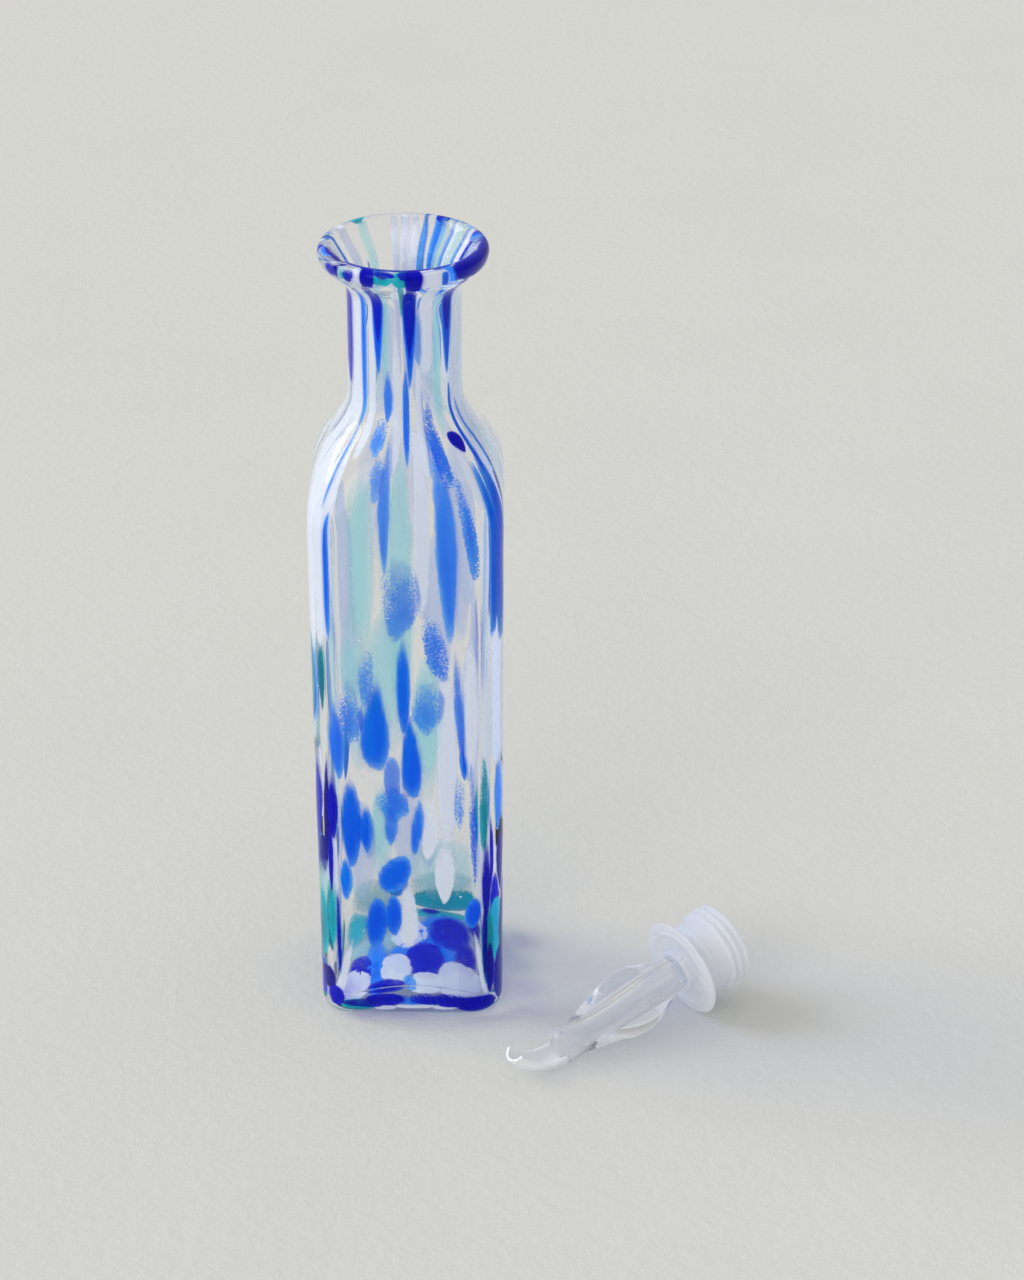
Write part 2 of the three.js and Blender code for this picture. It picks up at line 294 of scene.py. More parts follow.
    def in_skin(self, along, direction, depth):
        """A point this deep in the glass, at a way along the skin and in a direction from above."""
        k = 1
        while k < len(self.reach) - 1 and self.reach[k] < along:
            k += 1
        a, b = self.skin[k - 1], self.skin[k]
        length = self.reach[k] - self.reach[k - 1]
        share = (along - self.reach[k - 1]) / length
        into = (-(b[1] - a[1]) / length, (b[0] - a[0]) / length)
        half = blend_values(a[0], b[0], share) + depth * into[0]
        z = blend_values(a[1], b[1], share) + depth * into[1]
        x, y = self.spot(direction, half, z)
        return Vector((x, y, z))


# What a user would change

def length(name, description, default):
    return bpy.props.FloatProperty(
        name=name, description=description, default=default, min=0.0, precision=4, subtype="DISTANCE",
        unit="LENGTH")


def angle(name, description, degrees):
    return bpy.props.FloatProperty(
        name=name, description=description, default=math.radians(degrees), subtype="ANGLE", unit="ROTATION")


def strength(name, description, default):
    return bpy.props.FloatProperty(name=name, description=description, default=default, min=0.0)


def place(name, description, default):
    return bpy.props.FloatVectorProperty(
        name=name, description=description, default=default, size=len(default), subtype="XYZ", unit="LENGTH")


def colour(name, description, default):
    return bpy.props.FloatVectorProperty(
        name=name, description=description, default=default, min=0.0, max=1.0, size=3, subtype="COLOR")


class BottleSizes(bpy.types.PropertyGroup):
    """Sizes of the bottle"""

    height: length("Height", "From the foot to the top of the lip", 0.2615)
    flare_knee: length("Flare knee", "Depth below the lip where the flare turns up", 0.0088)
    flare_depth: length("Flare depth", "Depth below the lip where the neck begins to flare", 0.0158)
    funnel_depth: length("Funnel depth", "Depth below the lip where the bore begins", 0.0255)
    neck_depth: length("Neck depth", "Depth below the lip where the shoulder ends", 0.0465)
    shoulder_rise: length("Shoulder rise", "Height of the shoulder", 0.039)
    base_width: length("Base width", "Across two sides, above the heel", 0.060)
    body_draft: length("Body draft", "How much wider the body is at the shoulder", 0.0015)
    neck_diameter: length("Neck diameter", "Outside of the neck", 0.0354)
    lip_overhang: length("Lip overhang", "How far the lip stands out from the neck", 0.0086)
    wall: length("Wall", "Thickness of the glass", 0.0042)
    face_sink: length("Face sink", "How far the middle of each side lies in", 0.0011)
    corner_radius: length("Corner radius", "Rounding of the upright corners", 0.011)
    heel_radius: length("Heel radius", "Rounding round the foot", 0.005)
    neck_fillet: length("Neck fillet", "Hollow curve between shoulder and neck", 0.018)
    lip_edge: length("Lip edge", "Rounding of the lip's edge", 0.0026)
    lip_roll: angle("Lip roll", "How far the lip's edge is rounded over", 150)
    floor: length("Floor", "Glass under the inside corners", 0.0046)
    floor_rise: length("Floor rise", "Height of the dome in the floor", 0.0096)
    floor_heel: length("Floor heel", "Rounding between floor and wall", 0.004)
    dome_fade: length("Dome fade", "Height over which the dome fades out up the wall", 0.028)
    unevenness: length("Unevenness", "How much the hand-blown wall varies", 0.0003)


class FleckColours(bpy.types.PropertyGroup):
    """Colours of the flecks in the glass, where they are thick"""

    cobalt: colour("Cobalt", "Bright blue flecks", (0.0, 0.185, 0.88))
    navy: colour("Navy", "Dark blue flecks", (0.001, 0.008, 0.50))
    turquoise: colour("Turquoise", "Pale turquoise washes", (0.60, 0.92, 0.92))
    teal: colour("Teal", "Deep green-blue flecks", (0.0, 0.42, 0.54))
    white: colour("White", "Lavender-white flecks", (0.86, 0.91, 0.99))


class PourerSizes(bpy.types.PropertyGroup):
    """Sizes of the pourer's stopper and spout"""

    flange_radius: length("Flange radius", "Outside of the stopper's flange", 0.0167)
    flange: length("Flange", "Thickness of the flange", 0.0013)
    flange_rim: length("Flange rim", "Thickness of the flange's rim", 0.0009)
    rim_width: length("Rim width", "Width of the thinner rim", 0.0032)
    bead: length("Bead", "Height of the ring on the flange", 0.0005)
    collar: length("Collar", "How far the collar stands out of the flange", 0.0023)
    collar_wall: length("Collar wall", "Thickness of the collar", 0.0017)
    plug_length: length("Plug length", "From the flange's front to the plug's end", 0.01938)
    plug_radius: length("Plug radius", "Outside of the plug between its fins", 0.0123)
    plug_wall: length("Plug wall", "Thickness of the plug", 0.0022)
    plug_neck: length("Plug neck", "Length of the slimmer stretch behind the flange", 0.005)
    plug_relief: length("Plug relief", "How much slimmer it is, on the radius", 0.0009)
    plug_chamfer: length("Plug chamfer", "Chamfer of the plug's end", 0.0007)
    fin_radius: length("Fin radius", "Outside of the sealing fins", 0.01367)
    fin_pitch: length("Fin pitch", "From fin to fin", 0.0028)
    fin_foot: length("Fin foot", "Width of a fin where it grows out", 0.0019)
    fin_edge: length("Fin edge", "Width of a fin's edge", 0.0005)
    socket_radius: length("Socket radius", "Bore of the socket that holds the spout", 0.00555)
    socket_depth: length("Socket depth", "End of the socket, behind the flange's front", 0.012)
    socket_wall: length("Socket wall", "Thickness of the socket's tube", 0.0013)
    vent_diameter: length("Vent diameter", "Air hole through the flange", 0.0019)
    reach: length("Spout reach", "From the flange to the spout's square cut", 0.0514)
    spout_radius: length("Spout radius", "Outside of the spout's tube", 0.0058)
    spout_bore: length("Spout bore", "Radius of the spout's bore", 0.0038)
    swell_radius: length("Swell radius", "Outside of the spout's swelling", 0.0111)
    swell_root: length("Swell root", "The swelling ends this far from the flange", 0.0019)
    swell_fall: length("Swell fall", "From its widest place back to the flange end", 0.0195)
    swell_rise: length("Swell rise", "From the cut end to its widest place", 0.026)
    spigot_radius: length("Spigot radius", "Outside of the spigot in the socket", 0.005)
    spigot_end: length("Spigot end", "End of the spigot, behind the flange's front", 0.0114)
    ring_height: length("Ring height", "Height of the spigot's rings", 0.00025)
    ring_width: length("Ring width", "Width of the spigot's rings", 0.0007)
    ring_pitch: length("Ring pitch", "From ring to ring", 0.0014)
    ring_start: length("Ring start", "First ring, behind the flange's front", 0.0012)
    gutter_inset: length("Gutter inset", "How much thinner the gutter is than the tube, on each side", 0.0003)
    gutter_bend: length("Gutter bend", "Radius of the gutter's curl", 0.018)
    gutter_turn: angle("Gutter turn", "How far the gutter curls up", 62)
    gutter_taper: bpy.props.FloatProperty(
        name="Gutter taper", description="Size of the gutter's tip, against its root", default=0.68,
        min=0.1, max=1.0, subtype="FACTOR")
    place: place("Place", "Middle of the flange, seen from above", (0.0883, -0.0248))
    heading: angle("Heading", "Which way the stopper points, from +X", 37)
    play: length("Play", "Clearance between the spout and the stopper", 0.0003)


class StageSettings(bpy.types.PropertyGroup):
    """The floor, the light and the camera"""

    floor_colour: colour("Floor colour", "Pale floor", (0.62, 0.62, 0.59))
    sky: strength("Sky", "Strength of the even light", 0.56)
    key: strength("Key", "Watts per square metre of the soft light on the left", 1.85)
    fill: strength("Fill", "Watts per square metre of the softer light in front", 1.0)
    lens: bpy.props.FloatProperty(
        name="Lens", description="Focal length of the camera", default=101.25, min=1.0, unit="CAMERA")
    eye: place("Eye", "Place of the camera", (0.0329, -1.0171, 0.6643))
    look_down: angle("Look down", "How far the camera looks down", 27.93)


# Materials

EVEN = (1.0, 1.0, 1.0)
FLECK_RAGGEDNESS = 2.4              # how much more the rim of a grainy fleck wanders
FLECK_DEEPENING = 0.55              # how much a fleck's tone and flow deepen its colour
# Colour of the painted highlight on the edges of clear plastic, and of its frosting and painted sheen
PALE_HIGHLIGHT_AND_FROST = (0.93, 0.94, 0.97)
MILK_THIN, MILK_THICK, MILK_SHADE = (0.90, 0.915, 0.935), (0.97, 0.975, 0.985), (0.985, 0.99, 1.0)


def opaque(values):
    return (*values, 1.0)


def new_material(name):
    material = bpy.data.materials.new(name)
    material.use_nodes = True
    material.node_tree.nodes.clear()
    return material, material.node_tree


def put(tree, kind, inputs=None, **settings):
    """Add a shader node, set or link its inputs, and give its outputs."""
    made = tree.nodes.new(f"ShaderNode{kind}")
    for key, value in settings.items():
        setattr(made, key, value)
    for key, value in (inputs or {}).items():
        if isinstance(value, bpy.types.NodeSocket):
            tree.links.new(value, made.inputs[key])
        else:
            made.inputs[key].default_value = value
    return made.outputs


def read_attribute(tree, name):
    return put(tree, "Attribute", attribute_name=name)


def remap(tree, value, low, high, start=0.0, end=1.0, **settings):
    """Spread the values from start to end over low to high."""
    limits = {"From Min": start, "From Max": end, "To Min": low, "To Max": high}
    return put(tree, "MapRange", {"Value": value, **limits}, **settings)["Result"]


def reckon(tree, operation, *values, clamp=False):
    return put(tree, "Math", dict(enumerate(values)), operation=operation, use_clamp=clamp)["Value"]


def blend_colours(tree, factor, first, second):
    colours = {"A": opaque(first), "B": opaque(second)}
    return put(tree, "Mix", {"Factor": factor, **colours}, data_type="RGBA")["Result"]


def mix_shaders(tree, factor, first, second):
    return put(tree, "MixShader", {"Fac": factor, 1: first, 2: second})["Shader"]


def object_noise(tree, scale, detail=2.0, roughness=0.5, stretch=EVEN):
    """Noise in the object's own space, drawn out along an axis by a stretch below 1."""
    spot = put(tree, "Mapping", {"Vector": put(tree, "TexCoord")["Object"], "Scale": stretch})["Vector"]
    looks = {"Scale": scale, "Detail": detail, "Roughness": roughness}
    return put(tree, "TexNoise", {"Vector": spot, **looks})["Fac"]


def bump_from(tree, height, strength, distance):
    return put(tree, "Bump", {"Height": height, "Strength": strength, "Distance": distance})["Normal"]


def let_light_through(tree, shader, shade):
    """Let the rays that only carry light pass a clear body, tinted, so that lamps reach what it holds."""
    through = put(tree, "BsdfTransparent", {"Color": opaque(shade)})["BSDF"]
    path = put(tree, "LightPath")
    for ray in ("Is Diffuse Ray", "Is Shadow Ray"):
        shader = mix_shaders(tree, path[ray], shader, through)
    return shader


def show(tree, shader):
    put(tree, "OutputMaterial", {"Surface": shader})


def clear_material(name, tint, roughness, ior, wave_scale, wave_height, shade, clearness=1.0, mirror=1.0,
                   rim=0.0, frost=0.0):
    """A clear body that bends what is behind it and lets the lamps through.

    The tint is a colour, or the name of the attribute that holds it. Mirror is the share of the reflection
    that shows face on. Moulded plastic gets a pale rim where it is seen edge on, which is a painted
    highlight, and turns paler where its attribute of frosting and sheen says so, partly real frosting and
    partly a painted sheen.
    """
    material, tree = new_material(name)
    wave = object_noise(tree, wave_scale, detail=1.0, roughness=0.4, stretch=(1.0, 1.0, 0.45))
    shader = put(tree, "BsdfPrincipled", {
        "Base Color": read_attribute(tree, tint)["Color"] if isinstance(tint, str) else opaque(tint),
        "Roughness": remap(tree, wave, low=0.5 * roughness, high=1.5 * roughness), "IOR": ior,
        "Transmission Weight": clearness, "Specular Tint": opaque([mirror] * 3),
        "Normal": bump_from(tree, wave, strength=0.5, distance=wave_height)})["BSDF"]
    # A pale diffuse skin where the plastic is seen edge on is a painted highlight; the attribute adds
    # paleness towards the gutter's tip that is partly frosting and partly painted sheen.
    if rim > 0:
        facing = put(tree, "LayerWeight", {"Blend": rim})["Facing"]
        frost_and_sheen_mask = read_attribute(tree, "frost")["Fac"]
        painted_highlight_and_frost = reckon(tree, "MULTIPLY_ADD", frost_and_sheen_mask, frost, facing, clamp=True)
        pale = put(tree, "BsdfDiffuse", {"Color": opaque(PALE_HIGHLIGHT_AND_FROST)})["BSDF"]
        shader = mix_shaders(tree, painted_highlight_and_frost, shader, pale)
    show(tree, let_light_through(tree, shader, shade))
    return material


def fleck_edge_group():
    """How much colour a fleck has: full in its thick middle, thinning and breaking into grains at its rim."""
    name = "Fleck edge"
    if name in bpy.data.node_groups:
        return bpy.data.node_groups[name]
    tree = bpy.data.node_groups.new(name, "ShaderNodeTree")
    for label, default in (("Thickness", 0.5), ("Grain", 0.2), ("Strength", 1.0), ("Wash", 0.0)):
        socket = tree.interface.new_socket(label, in_out="INPUT", socket_type="NodeSocketFloat")
        socket.min_value, socket.max_value, socket.default_value = 0.0, 1.0, default
    tree.interface.new_socket("Cover", in_out="OUTPUT", socket_type="NodeSocketFloat")
    given = tree.nodes.new("NodeGroupInput").outputs
    grain, wash = given["Grain"], given["Wash"]
    rim = object_noise(tree, scale=260.0, roughness=0.55, stretch=(1.0, 1.0, 0.5))
    wander = remap(tree, rim, low=-0.22, high=0.22)
    ragged = reckon(tree, "MULTIPLY_ADD", grain, FLECK_RAGGEDNESS, 1.0)
    body = reckon(tree, "MULTIPLY_ADD", wander, ragged, given["Thickness"])
    sand = object_noise(tree, scale=1500.0, roughness=0.6)
    grains = remap(tree, sand, low=-1.25, high=0.5, start=0.3, end=0.68)
    broken = reckon(tree, "ADD", body, reckon(tree, "MULTIPLY", grains, grain))
    full = remap(tree, wash, low=0.52, high=0.95)
    cover = remap(tree, broken, low=0.0, high=1.0, start=0.02, end=full, interpolation_type="SMOOTHSTEP")
    drawn = object_noise(tree, scale=420.0, stretch=(1.0, 1.0, 0.07))
    streaks = remap(tree, drawn, low=0.72, high=1.05, start=0.35, end=0.62)
    streaky = put(tree, "Mix", {"Factor": wash, "A": 1.0, "B": streaks})["Result"]
    strong = reckon(tree, "MULTIPLY", given["Strength"], streaky)
    whole = reckon(tree, "MULTIPLY", cover, strong, clamp=True)
    tree.links.new(whole, tree.nodes.new("NodeGroupOutput").inputs["Cover"])
    return tree


def fleck_material(name, thick_colour, glass):
    """Coloured glass, deep in its thick middle and thin at its rim, where it lets the clear glass show.

    The fleck attribute holds the thickness, the tone, the grain and the strength of each fleck. Pale flecks
    glow with the light from behind them.
    """
    material, tree = new_material(name)
    fleck = read_attribute(tree, "fleck")
    parts = put(tree, "SeparateColor", {"Color": fleck["Color"]})
    thickness, strength = parts["Red"], fleck["Alpha"]
    cover = put(tree, "Group", {
        "Thickness": thickness, "Grain": parts["Blue"], "Strength": strength,
        "Wash": read_attribute(tree, "wash")["Fac"]}, node_tree=fleck_edge_group())["Cover"]
    flow = object_noise(tree, scale=330.0, roughness=0.55, stretch=(1.0, 1.0, 0.12))
    depth = reckon(tree, "ADD", parts["Green"], flow)
    lift = remap(tree, thickness, low=-0.35, high=0.4)
    deep = reckon(tree, "MULTIPLY_ADD", depth, FLECK_DEEPENING, lift, clamp=True)
    tone = blend_colours(tree, deep, glass.thin, thick_colour)
    shader = put(tree, "BsdfPrincipled", {
        "Base Color": tone, "Roughness": 0.5, "Specular IOR Level": 0.0,
        "Alpha": reckon(tree, "MULTIPLY", cover, glass.cover)})["BSDF"]
    if glass.glow > 0:
        film = remap(tree, thickness, low=0.0, high=glass.cover, start=0.02, end=0.55,
                     interpolation_type="SMOOTHSTEP")
        lit = put(tree, "BsdfTranslucent", {"Color": tone})["BSDF"]
        clear = put(tree, "BsdfTransparent")["BSDF"]
        thin_film = mix_shaders(tree, reckon(tree, "MULTIPLY", film, strength), clear, lit)
        shader = mix_shaders(tree, glass.glow, shader, thin_film)
    show(tree, let_light_through(tree, shader, glass.shade))
    return material


def milky_material(name, cover=0.62, glow=0.42):
    """Soft milky plastic, satin outside.

    Cover is the share of light that can't pass straight through, and glow the share of that which wanders
    about inside.
    """
    material, tree = new_material(name)
    cloud = object_noise(tree, scale=180.0, detail=3.0, roughness=0.6)
    tone = blend_colours(tree, cloud, MILK_THIN, MILK_THICK)
    grain = object_noise(tree, scale=1400.0)
    skin = put(tree, "BsdfPrincipled", {
        "Base Color": tone, "Roughness": remap(tree, cloud, low=0.32, high=0.5), "IOR": 1.45,
        "Specular IOR Level": 0.35,
        "Normal": bump_from(tree, grain, strength=0.25, distance=0.05 * MM)})["BSDF"]
    lit = put(tree, "BsdfTranslucent", {"Color": tone})["BSDF"]
    through = put(tree, "BsdfTransparent", {"Color": opaque(MILK_SHADE)})["BSDF"]
    show(tree, mix_shaders(tree, cover, through, mix_shaders(tree, glow, skin, lit)))
    return material


def floor_material(name, base, mottle=0.03):
    """A pale floor, a little uneven, whose brightness varies by the mottle."""
    material, tree = new_material(name)
    cloud = object_noise(tree, scale=9.0, detail=4.0, roughness=0.6)
    grain = object_noise(tree, scale=220.0, detail=6.0, roughness=0.65)
    darker, lighter = [[share * c for c in base] for share in (1 - mottle, 1 + mottle)]
    show(tree, put(tree, "BsdfPrincipled", {
        "Base Color": blend_colours(tree, cloud, darker, lighter), "Roughness": 0.9,
        "Normal": bump_from(tree, grain, strength=0.35, distance=1.2 * MM)})["BSDF"])
    return material


# The bottle

class OILBOTTLE_OT_blow_bottle(bpy.types.Operator):
    """Blow the bottle: turn it, draw it square, smooth it and make its wall a little uneven"""

    bl_idname = "oil_bottle.blow_bottle"
    bl_label = "Blow bottle"

    TURNED_SIDES = 56
    SMOOTH_LEVELS = 2
    FOOT_RINGS = (0.8, 0.5, 0.4)    # size of each ring that closes the foot, against the one before
    TO_CORNERS = 0.42 / 4           # how far points crowd towards the four corners
    TINY = 1e-9                     # points this close to the axis are the middles of foot and floor
    CLOUD_SIZE = 0.022
    STILL_FOOT = 0.5 * MM           # up to here the foot stays even
    LIP_SHARE = 0.3                 # how uneven the lip is, against the wall

    def execute(self, context):
        form = BottleForm(context.scene.bottle_sizes)
        outline = [*form.outside(1), *form.inside_of_lip(1), *form.inside()]
        bottle = turn("bottle_glass", outline, self.TURNED_SIDES)
        extrude()
        bpy.ops.mesh.merge(type="CENTER")
        bpy.ops.mesh.select_all(action="DESELECT")
        bpy.ops.mesh.select_non_manifold()
        for shrink in self.FOOT_RINGS:
            extrude()
            scale_ring(shrink)
        bpy.ops.mesh.merge(type="CENTER")
        weld_and_face_out()
        bpy.ops.object.mode_set(mode="OBJECT")
        self.draw_square(bottle, form, outline)
        subdivide_smooth(bottle, self.SMOOTH_LEVELS)
        self.make_uneven(bottle, form)
        set_material(bottle, clear_material(
            "flecked_glass", "melt", roughness=0.02, ior=1.46, wave_scale=55.0, wave_height=0.25 * MM,
            shade=(0.93, 0.94, 0.97), mirror=0.3))
        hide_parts("glass_bottle")
        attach(bottle, "bottle")
        return {"FINISHED"}

    def draw_square(self, bottle, form, outline):
        """Draw each turned ring out square, dome the floor, and note the way along the skin."""
        ways, gone = [], 0.0
        for a, b in zip([(0.0, 0.0), *outline], outline):
            gone += math.dist(a, b)
            ways.append((b, gone))
        way = bottle.data.attributes.new("way", "FLOAT_VECTOR", "POINT")
        for vertex in bottle.data.vertices:
            x, y, z = vertex.co
            half = math.hypot(x, y)
            above_foot = z > form.s.floor / 2
            if half < self.TINY:
                if above_foot:
                    vertex.co.z += form.dome(0, 0, z)
                way.data[vertex.index].vector = (gone if above_foot else 0.0, 0.0, 0.0)
                continue
            direction = math.atan2(y, x)
            nearest, along = min(ways, key=lambda spot: math.dist(spot[0], (half, z)))
            if math.dist(nearest, (half, z)) > MM:
                along = gone if above_foot else half
            direction += self.TO_CORNERS * form.squareness(z) * math.sin(4 * direction)
            way.data[vertex.index].vector = (along, math.cos(direction), math.sin(direction))
            x, y = form.spot(direction, half, z)
            inside = above_foot and half < form.half_width(z) - form.s.wall / 2
            vertex.co = (x, y, z + (form.dome(x, y, z) if inside else 0))

    def make_uneven(self, bottle, form):
        """Thin the wall here and there. The foot stays even, and the lip nearly so."""
        group = bottle.vertex_groups.new(name="wall")
        for vertex in bottle.data.vertices:
            z = vertex.co.z
            foot = smooth(z, self.STILL_FOOT, form.s.heel_radius + form.s.floor)
            lip = smooth(z, form.s.height - form.s.flare_depth, form.lip_z)
            group.add([vertex.index], foot * blend_values(1.0, self.LIP_SHARE, lip), "REPLACE")
        clouds = bpy.data.textures.new("uneven_wall", "CLOUDS")
        clouds.noise_scale = self.CLOUD_SIZE
        clouds.noise_depth = 1
        apply_modifier(bottle, "DISPLACE", texture=clouds, texture_coords="LOCAL", vertex_group="wall",
                       strength=form.s.unevenness, mid_level=1.0)


# The flecks

class FleckGlass(NamedTuple):
    """How one colour of flecks lies in the wall and looks."""

    depth: float        # from the skin of the bottle to the middle of a fleck
    thin: tuple         # colour where a fleck is thin
    shade: tuple        # colour of the light that a fleck lets through
    melt: tuple         # colour that runs from a fleck into the clear glass
    cover: float        # how far the thick middle hides what is behind it
    glow: float = 0.0   # share of a fleck's light that comes from behind it


FLECK_GLASS = {
    "cobalt": FleckGlass(
        depth=0.95 * MM, thin=(0.15, 0.54, 0.98), shade=(0.50, 0.62, 0.94), melt=(0.0, 0.22, 0.98),
        cover=0.88),
    "navy": FleckGlass(
        depth=0.75 * MM, thin=(0.015, 0.015, 0.62), shade=(0.34, 0.30, 0.80), melt=(0.001, 0.006, 0.70),
        cover=0.96),
    "turquoise": FleckGlass(
        depth=1.9 * MM, thin=(0.68, 0.95, 0.95), shade=(0.94, 0.99, 0.98), melt=(0.66, 0.95, 0.95),
        cover=0.34, glow=0.4),
    "teal": FleckGlass(
        depth=1.1 * MM, thin=(0.02, 0.62, 0.68), shade=(0.42, 0.78, 0.82), melt=(0.0, 0.40, 0.48),
        cover=0.85),
    # White flecks; this batch also holds white lines at the front corners that are painted highlights, and
    # the painted glints of bubbles
    "white": FleckGlass(
        depth=1.45 * MM, thin=(0.90, 0.94, 1.0), shade=(0.93, 0.94, 0.97), melt=(0.97, 0.98, 1.0),
        cover=0.88, glow=0.25),
}

# Flecks of the four walls, in millimetres: colour, shape, how far to the right and how high the middle is,
# width, length and, where they aren't the usual ones, strength, grain and lean to the right going up.

FRONT_WALL = (
    ("turquoise", "streak", -14.2, 168, 5.2, 54, 0.9),
    ("turquoise", "streak", -1.6, 160, 6.4, 84, 0.75),
    ("turquoise", "wash", -7, 128, 17, 44, 0.8),
    ("turquoise", "lens", -18.4, 131, 6, 24, 0.8),
    ("turquoise", "lens", 6.4, 114, 8, 50, 1, 0.1),
    ("turquoise", "lens", -9.2, 75, 5.4, 30),
    ("cobalt", "patch", -1.8, 155, 11, 30, 0.62, 0.35),
    ("cobalt", "lens", 13, 175, 6, 73, 0.85, 0.05, -0.03),
    ("cobalt", "patch", 14.6, 205, 4.2, 29, 0.9, 0.3, -0.07),
    ("cobalt", "patch", 20.2, 181, 3.6, 40, 0.95, 0.35, -0.1),
    ("cobalt", "lens", -6.6, 187, 3.6, 48, 0.75, 0.1),
    ("cobalt", "patch", -9.6, 195, 4.4, 16, 0.65, 0.45),
    ("cobalt", "patch", -12, 206, 4.4, 14, 0.8, 0.45, 0.1),
    ("cobalt", "lens", 1.2, 213, 2, 34, 0.9),
    ("white", "streak", 5.6, 180, 4.6, 62, 0.8, 0.1),
    ("white", "streak", -29, 174, 6.5, 72, 0.95),
    ("cobalt", "streak", -26, 163, 1.7, 44, 0.9, 0.1),
    ("cobalt", "streak", 31.4, 169, 3.4, 58),
    ("teal", "lens", 25.6, 80, 3, 36, 0.9, 0.2),
    ("navy", "lens", -27.6, 64, 2, 34, 1, 0.1),
    ("teal", "oval", 27.4, 27, 4.2, 30, 1, 0.2),
    ("navy", "wedge", 29, 203, 4.2, 7, 1, 0.05, -0.2),
    ("cobalt", "lens", -1.2, 123.5, 4.3, 35),
    ("cobalt", "drop", -10.2, 110, 7.6, 34, 1, 0.05, 0.03),
    ("cobalt", "lens", -15, 113, 1.5, 11, 0.6, 0.1),
    ("cobalt", "patch", -13, 126, 4.8, 20, 0.8, 0.55),
    ("cobalt", "patch", -18.8, 114.5, 6.2, 21, 0.8, 0.5, -0.08),
    ("cobalt", "lens", -23.4, 105, 5, 28, 0.9, 0.1, -0.05),
    ("cobalt", "drop", 0.9, 99, 5.8, 32, 1, 0.05, -0.03),
    ("cobalt", "oval", -5.3, 90, 5, 18, 0.6, 0.1),
    ("cobalt", "patch", -4.6, 81.5, 9.6, 14, 1, 0.3),
    ("cobalt", "patch", -3.8, 81, 6.6, 10, 0.85, 0.1, 0.2),
    ("cobalt", "lens", -5.8, 73, 4.4, 15, 0.8, 0.2),
    ("white", "lens", 6.6, 72, 6.2, 25),
    ("cobalt", "lens", 2.6, 72, 3.6, 22, 0.95, 0.1, 0.1),
    ("white", "streak", 13, 97, 5.6, 67, 0.95),
    ("cobalt", "lens", 16.8, 115, 2.4, 47, 0.75, 0.1, -0.05),
    ("cobalt", "lens", 17.8, 97, 1.8, 14, 1, 0.05, -0.08),
    ("white", "lens", 20.9, 116, 4.6, 54),
    ("cobalt", "patch", 6.4, 116, 9.4, 18, 0.85, 0.45),
    ("cobalt", "patch", 9.3, 138, 7.4, 25, 0.9, 0.45, -0.15),
    ("cobalt", "lens", -18.8, 75, 5.6, 35),
    ("navy", "lens", -26, 80, 4, 24, 1, 0.1),
    ("cobalt", "lens", -13.9, 72.5, 3.8, 18),
    ("cobalt", "lens", 21.2, 72, 2.2, 46, 0.8, 0.4, -0.03),
    ("cobalt", "patch", 16.8, 82, 2.8, 20, 0.7, 0.8),
    ("cobalt", "oval", -4.8, 55, 9.4, 14.5, 1, 0.05, 0.25),
    ("cobalt", "lens", -21, 54, 3.6, 17),
    ("cobalt", "oval", -11, 37, 6.2, 20, 1, 0.05, 0.05),
    ("cobalt", "oval", -5.5, 39.7, 4.8, 16),
    ("white", "drop", -0.8, 41, 6, 27, 0.95),
    ("white", "lens", 11.8, 56, 6.2, 25, 0.95),
    ("cobalt", "oval", 21, 40.5, 4.4, 12, 1, 0.05, 0.1),
    ("white", "lens", 27.6, 112, 4, 60, 0.95),
    # White line at the right corner: a painted highlight laid as a white fleck
    ("white", "streak", 25.5, 60, 3.5, 36, 0.8, 0.1),
    ("navy", "lens", 26.5, 52, 3.2, 30, 0.95, 0.1),
    ("navy", "lens", 25.6, 31, 1.6, 32, 1, 0.1),
    ("navy", "oval", 28.4, 18, 3, 20, 1, 0.1),
    # White line flaring out at the right corner's foot: a painted highlight laid as a white fleck
    ("white", "drop", 24.6, 20, 2.4, 28, 1, 0.05, -0.16),
    ("teal", "lens", -28, 40, 4, 28, 0.9, 0.15),
    # White line flaring out at the left corner's foot: a painted highlight laid as a white fleck
    ("white", "drop", -22.8, 19, 2.4, 28, 1, 0.05, 0.2),
    ("navy", "lens", -24.4, 33, 1.4, 34, 0.9, 0.1),
    # White line at the left corner: a painted highlight laid as a white fleck
    ("white", "streak", -25.6, 52, 1.3, 40, 0.9),
    ("navy", "oval", -27, 8, 6, 8, 0.9, 0.1),
    ("navy", "patch", 8, 7.6, 17, 5, 1, 0.3),
    ("navy", "oval", -8.6, 7.4, 12, 5, 1, 0.1),
    ("cobalt", "patch", 1, 7, 20, 4.4, 0.9, 0.3),
    ("navy", "patch", -14, 6, 13, 3.8, 0.85, 0.2),
    ("navy", "oval", 15, 6, 13, 4.2, 0.9, 0.1),
    ("white", "oval", 1, 4.3, 13, 3),
    ("teal", "oval", -17.5, 5.2, 10, 5, 0.95, 0.1),
    ("navy", "oval", 22.5, 5, 13, 7.4, 1, 0.1),
    ("white", "oval", 11.5, 3.6, 8, 3.4, 0.95),
    ("white", "oval", -9, 3.4, 7, 3, 0.9),
)

